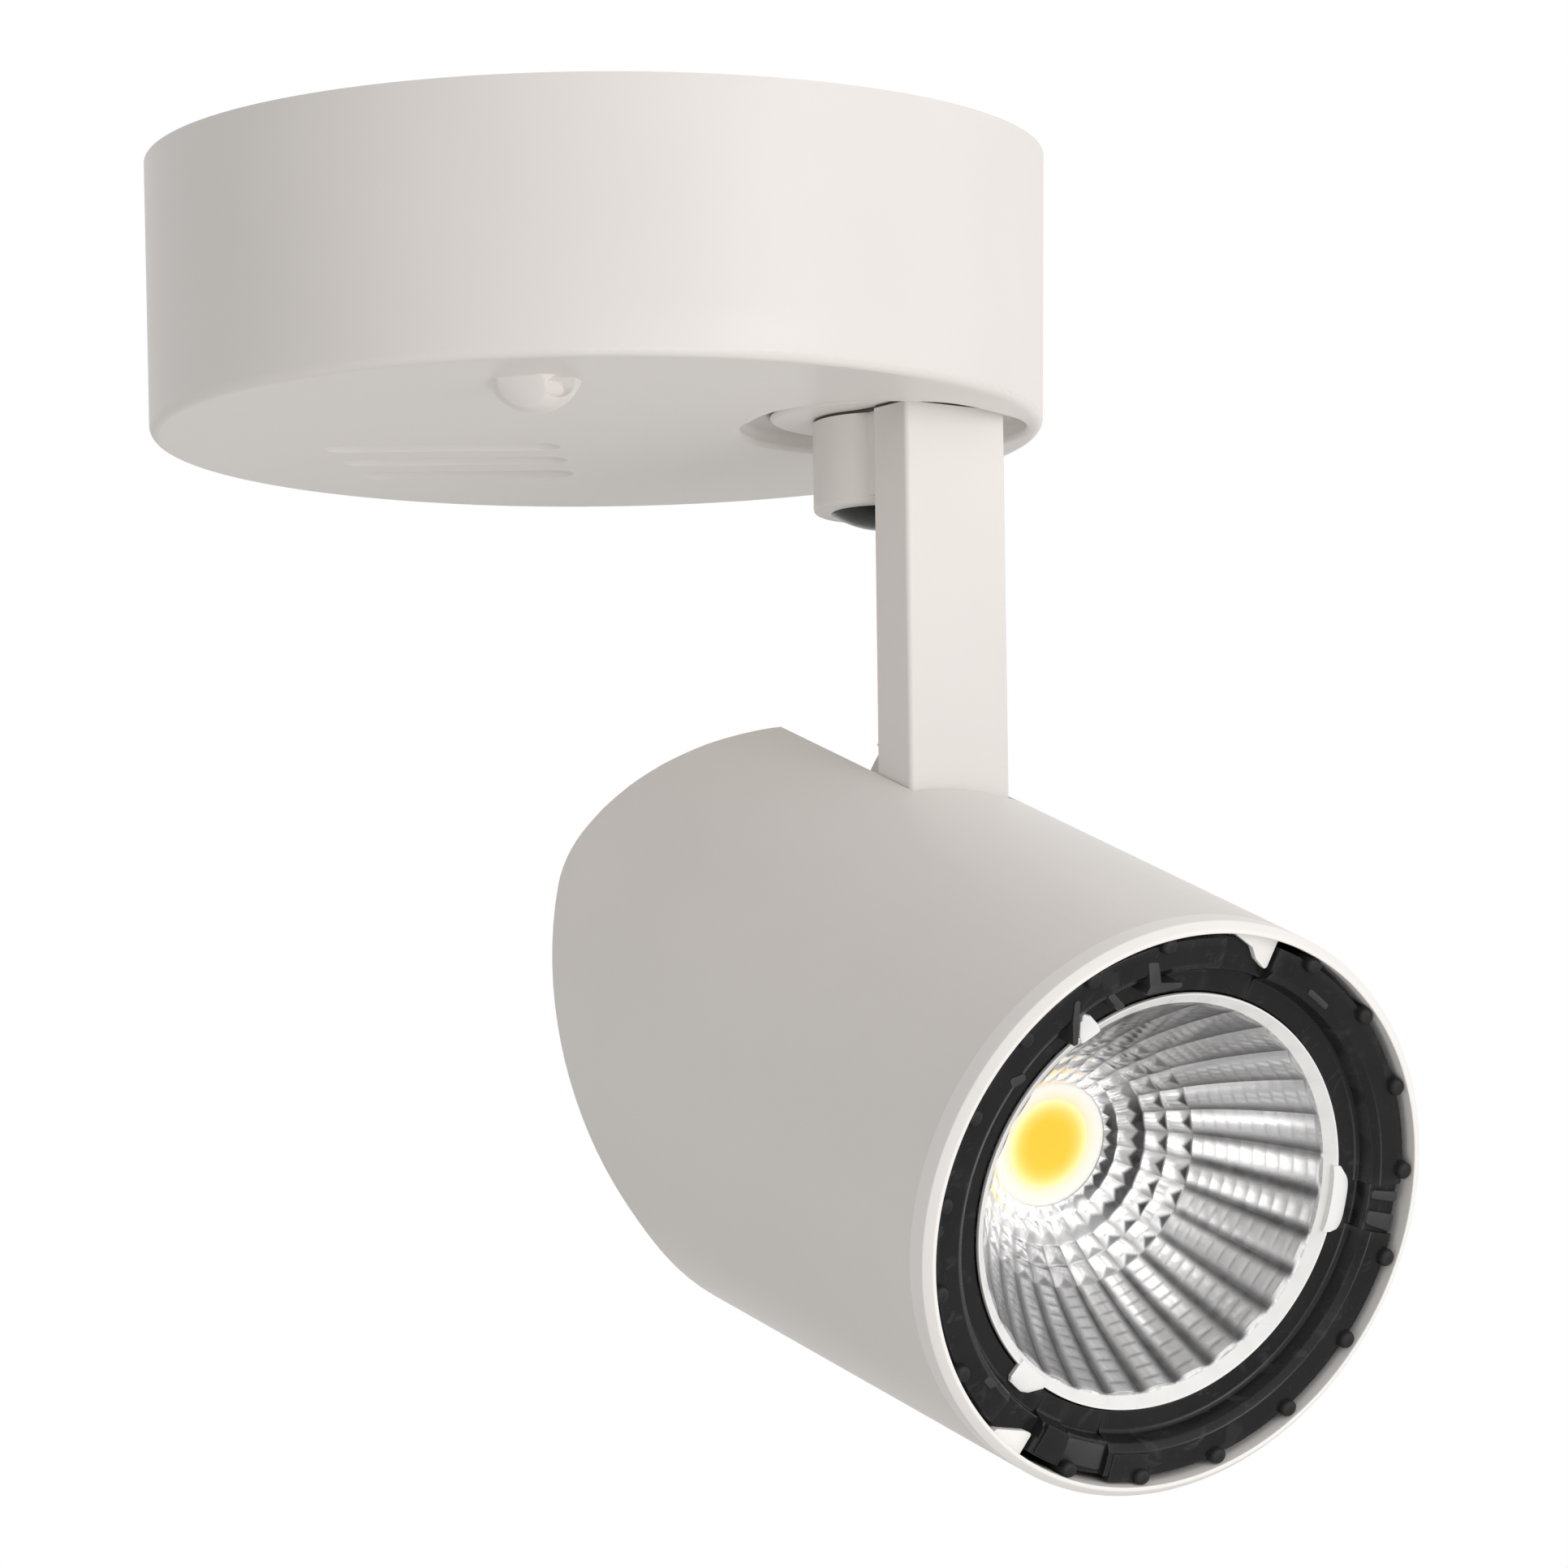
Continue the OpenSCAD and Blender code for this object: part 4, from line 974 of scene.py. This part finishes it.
# ------------------------------------------------------------------ stage and light
def stage_plane():
    me = bpy.data.meshes.new("floor")
    s, z = 9.0, -2.4
    me.from_pydata([(-s, -s, z), (s, -s, z), (s, s, z), (-s, s, z)], [], [(0, 1, 2, 3)])
    m, nt, b = new_mat("pale_floor")
    k = Net(nt)
    k.link(k.mix(k.noise(0.8, 4), (0.80, 0.80, 0.79), (0.84, 0.84, 0.83)), b.inputs["Base Color"])
    b.inputs["Roughness"].default_value = 0.8
    me.materials.append(m)
    o = bpy.data.objects.new("floor", me)
    SCENE.collection.objects.link(o)


stage_plane()


def area(name, at, to, size, power, colour=(1, 1, 1)):
    l = bpy.data.lights.new(name, "AREA")
    l.shape = "RECTANGLE"
    l.size, l.size_y = size
    l.energy = power
    l.color = colour
    o = bpy.data.objects.new(name, l)
    o.location = at
    o.rotation_mode = "QUATERNION"
    o.rotation_quaternion = (Vector(to) - Vector(at)).to_track_quat("-Z", "Y")
    SCENE.collection.objects.link(o)
    return o


AIM = (0.03, -0.02, -0.09)
area("key_near", (0.75, -0.75, -0.10), AIM, (0.5, 0.5), 2.42, (1.0, 0.98, 0.963))
area("key_below", (0.75, -1.25, -1.15), AIM, (0.9, 0.9), 6.0, (1.0, 0.98, 0.963))
area("fill_left", (-1.2, -1.2, -1.2), AIM, (0.9, 0.9), 1.5, (1.0, 0.98, 0.965))

world = bpy.data.worlds.new("studio")
SCENE.world = world
world.use_nodes = True
wt = world.node_tree
bg = wt.nodes["Background"]
wk = Net(wt)
direction = wt.nodes.new("ShaderNodeTexCoord").outputs["Generated"]


def dot(v):
    n = wt.nodes.new("ShaderNodeVectorMath")
    n.operation = "DOT_PRODUCT"
    wt.links.new(direction, n.inputs[0])
    n.inputs[1].default_value = v
    return n.outputs["Value"]


# soft grey room, lighter to the right
soft_room = wk.mix(wk.span(dot((0.95, -0.26, -0.16)), -1, 1), (0.345, 0.337, 0.330), (0.87, 0.856, 0.842))
# what mirrors see: white walls with a few dark gaps between them
bands = wk.noise(3.4, 2, 0.5, 0.0, direction)
mirror_room = wk.mix(wk.ramp(bands, [(0.0, 0.0), (0.36, 0.0), (0.48, 1.0)]), (0.56, 0.56, 0.562), (1.08, 1.07, 1.06))
# and a softer, darker side of the room opposite the flutes on the right
mirror_room = wk.mix(wk.span(dot((0.475, -0.872, 0.118)), 0.90, 0.985, 0.0, 0.45), mirror_room, (0.40, 0.40, 0.402))
lp = wt.nodes.new("ShaderNodeLightPath")
room = wk.mix(lp.outputs["Is Glossy Ray"], soft_room, mirror_room)
room = wk.mix(lp.outputs["Is Camera Ray"], room, (1.0, 1.0, 1.0))
wt.links.new(room, bg.inputs["Color"])
bg.inputs["Strength"].default_value = 1.0
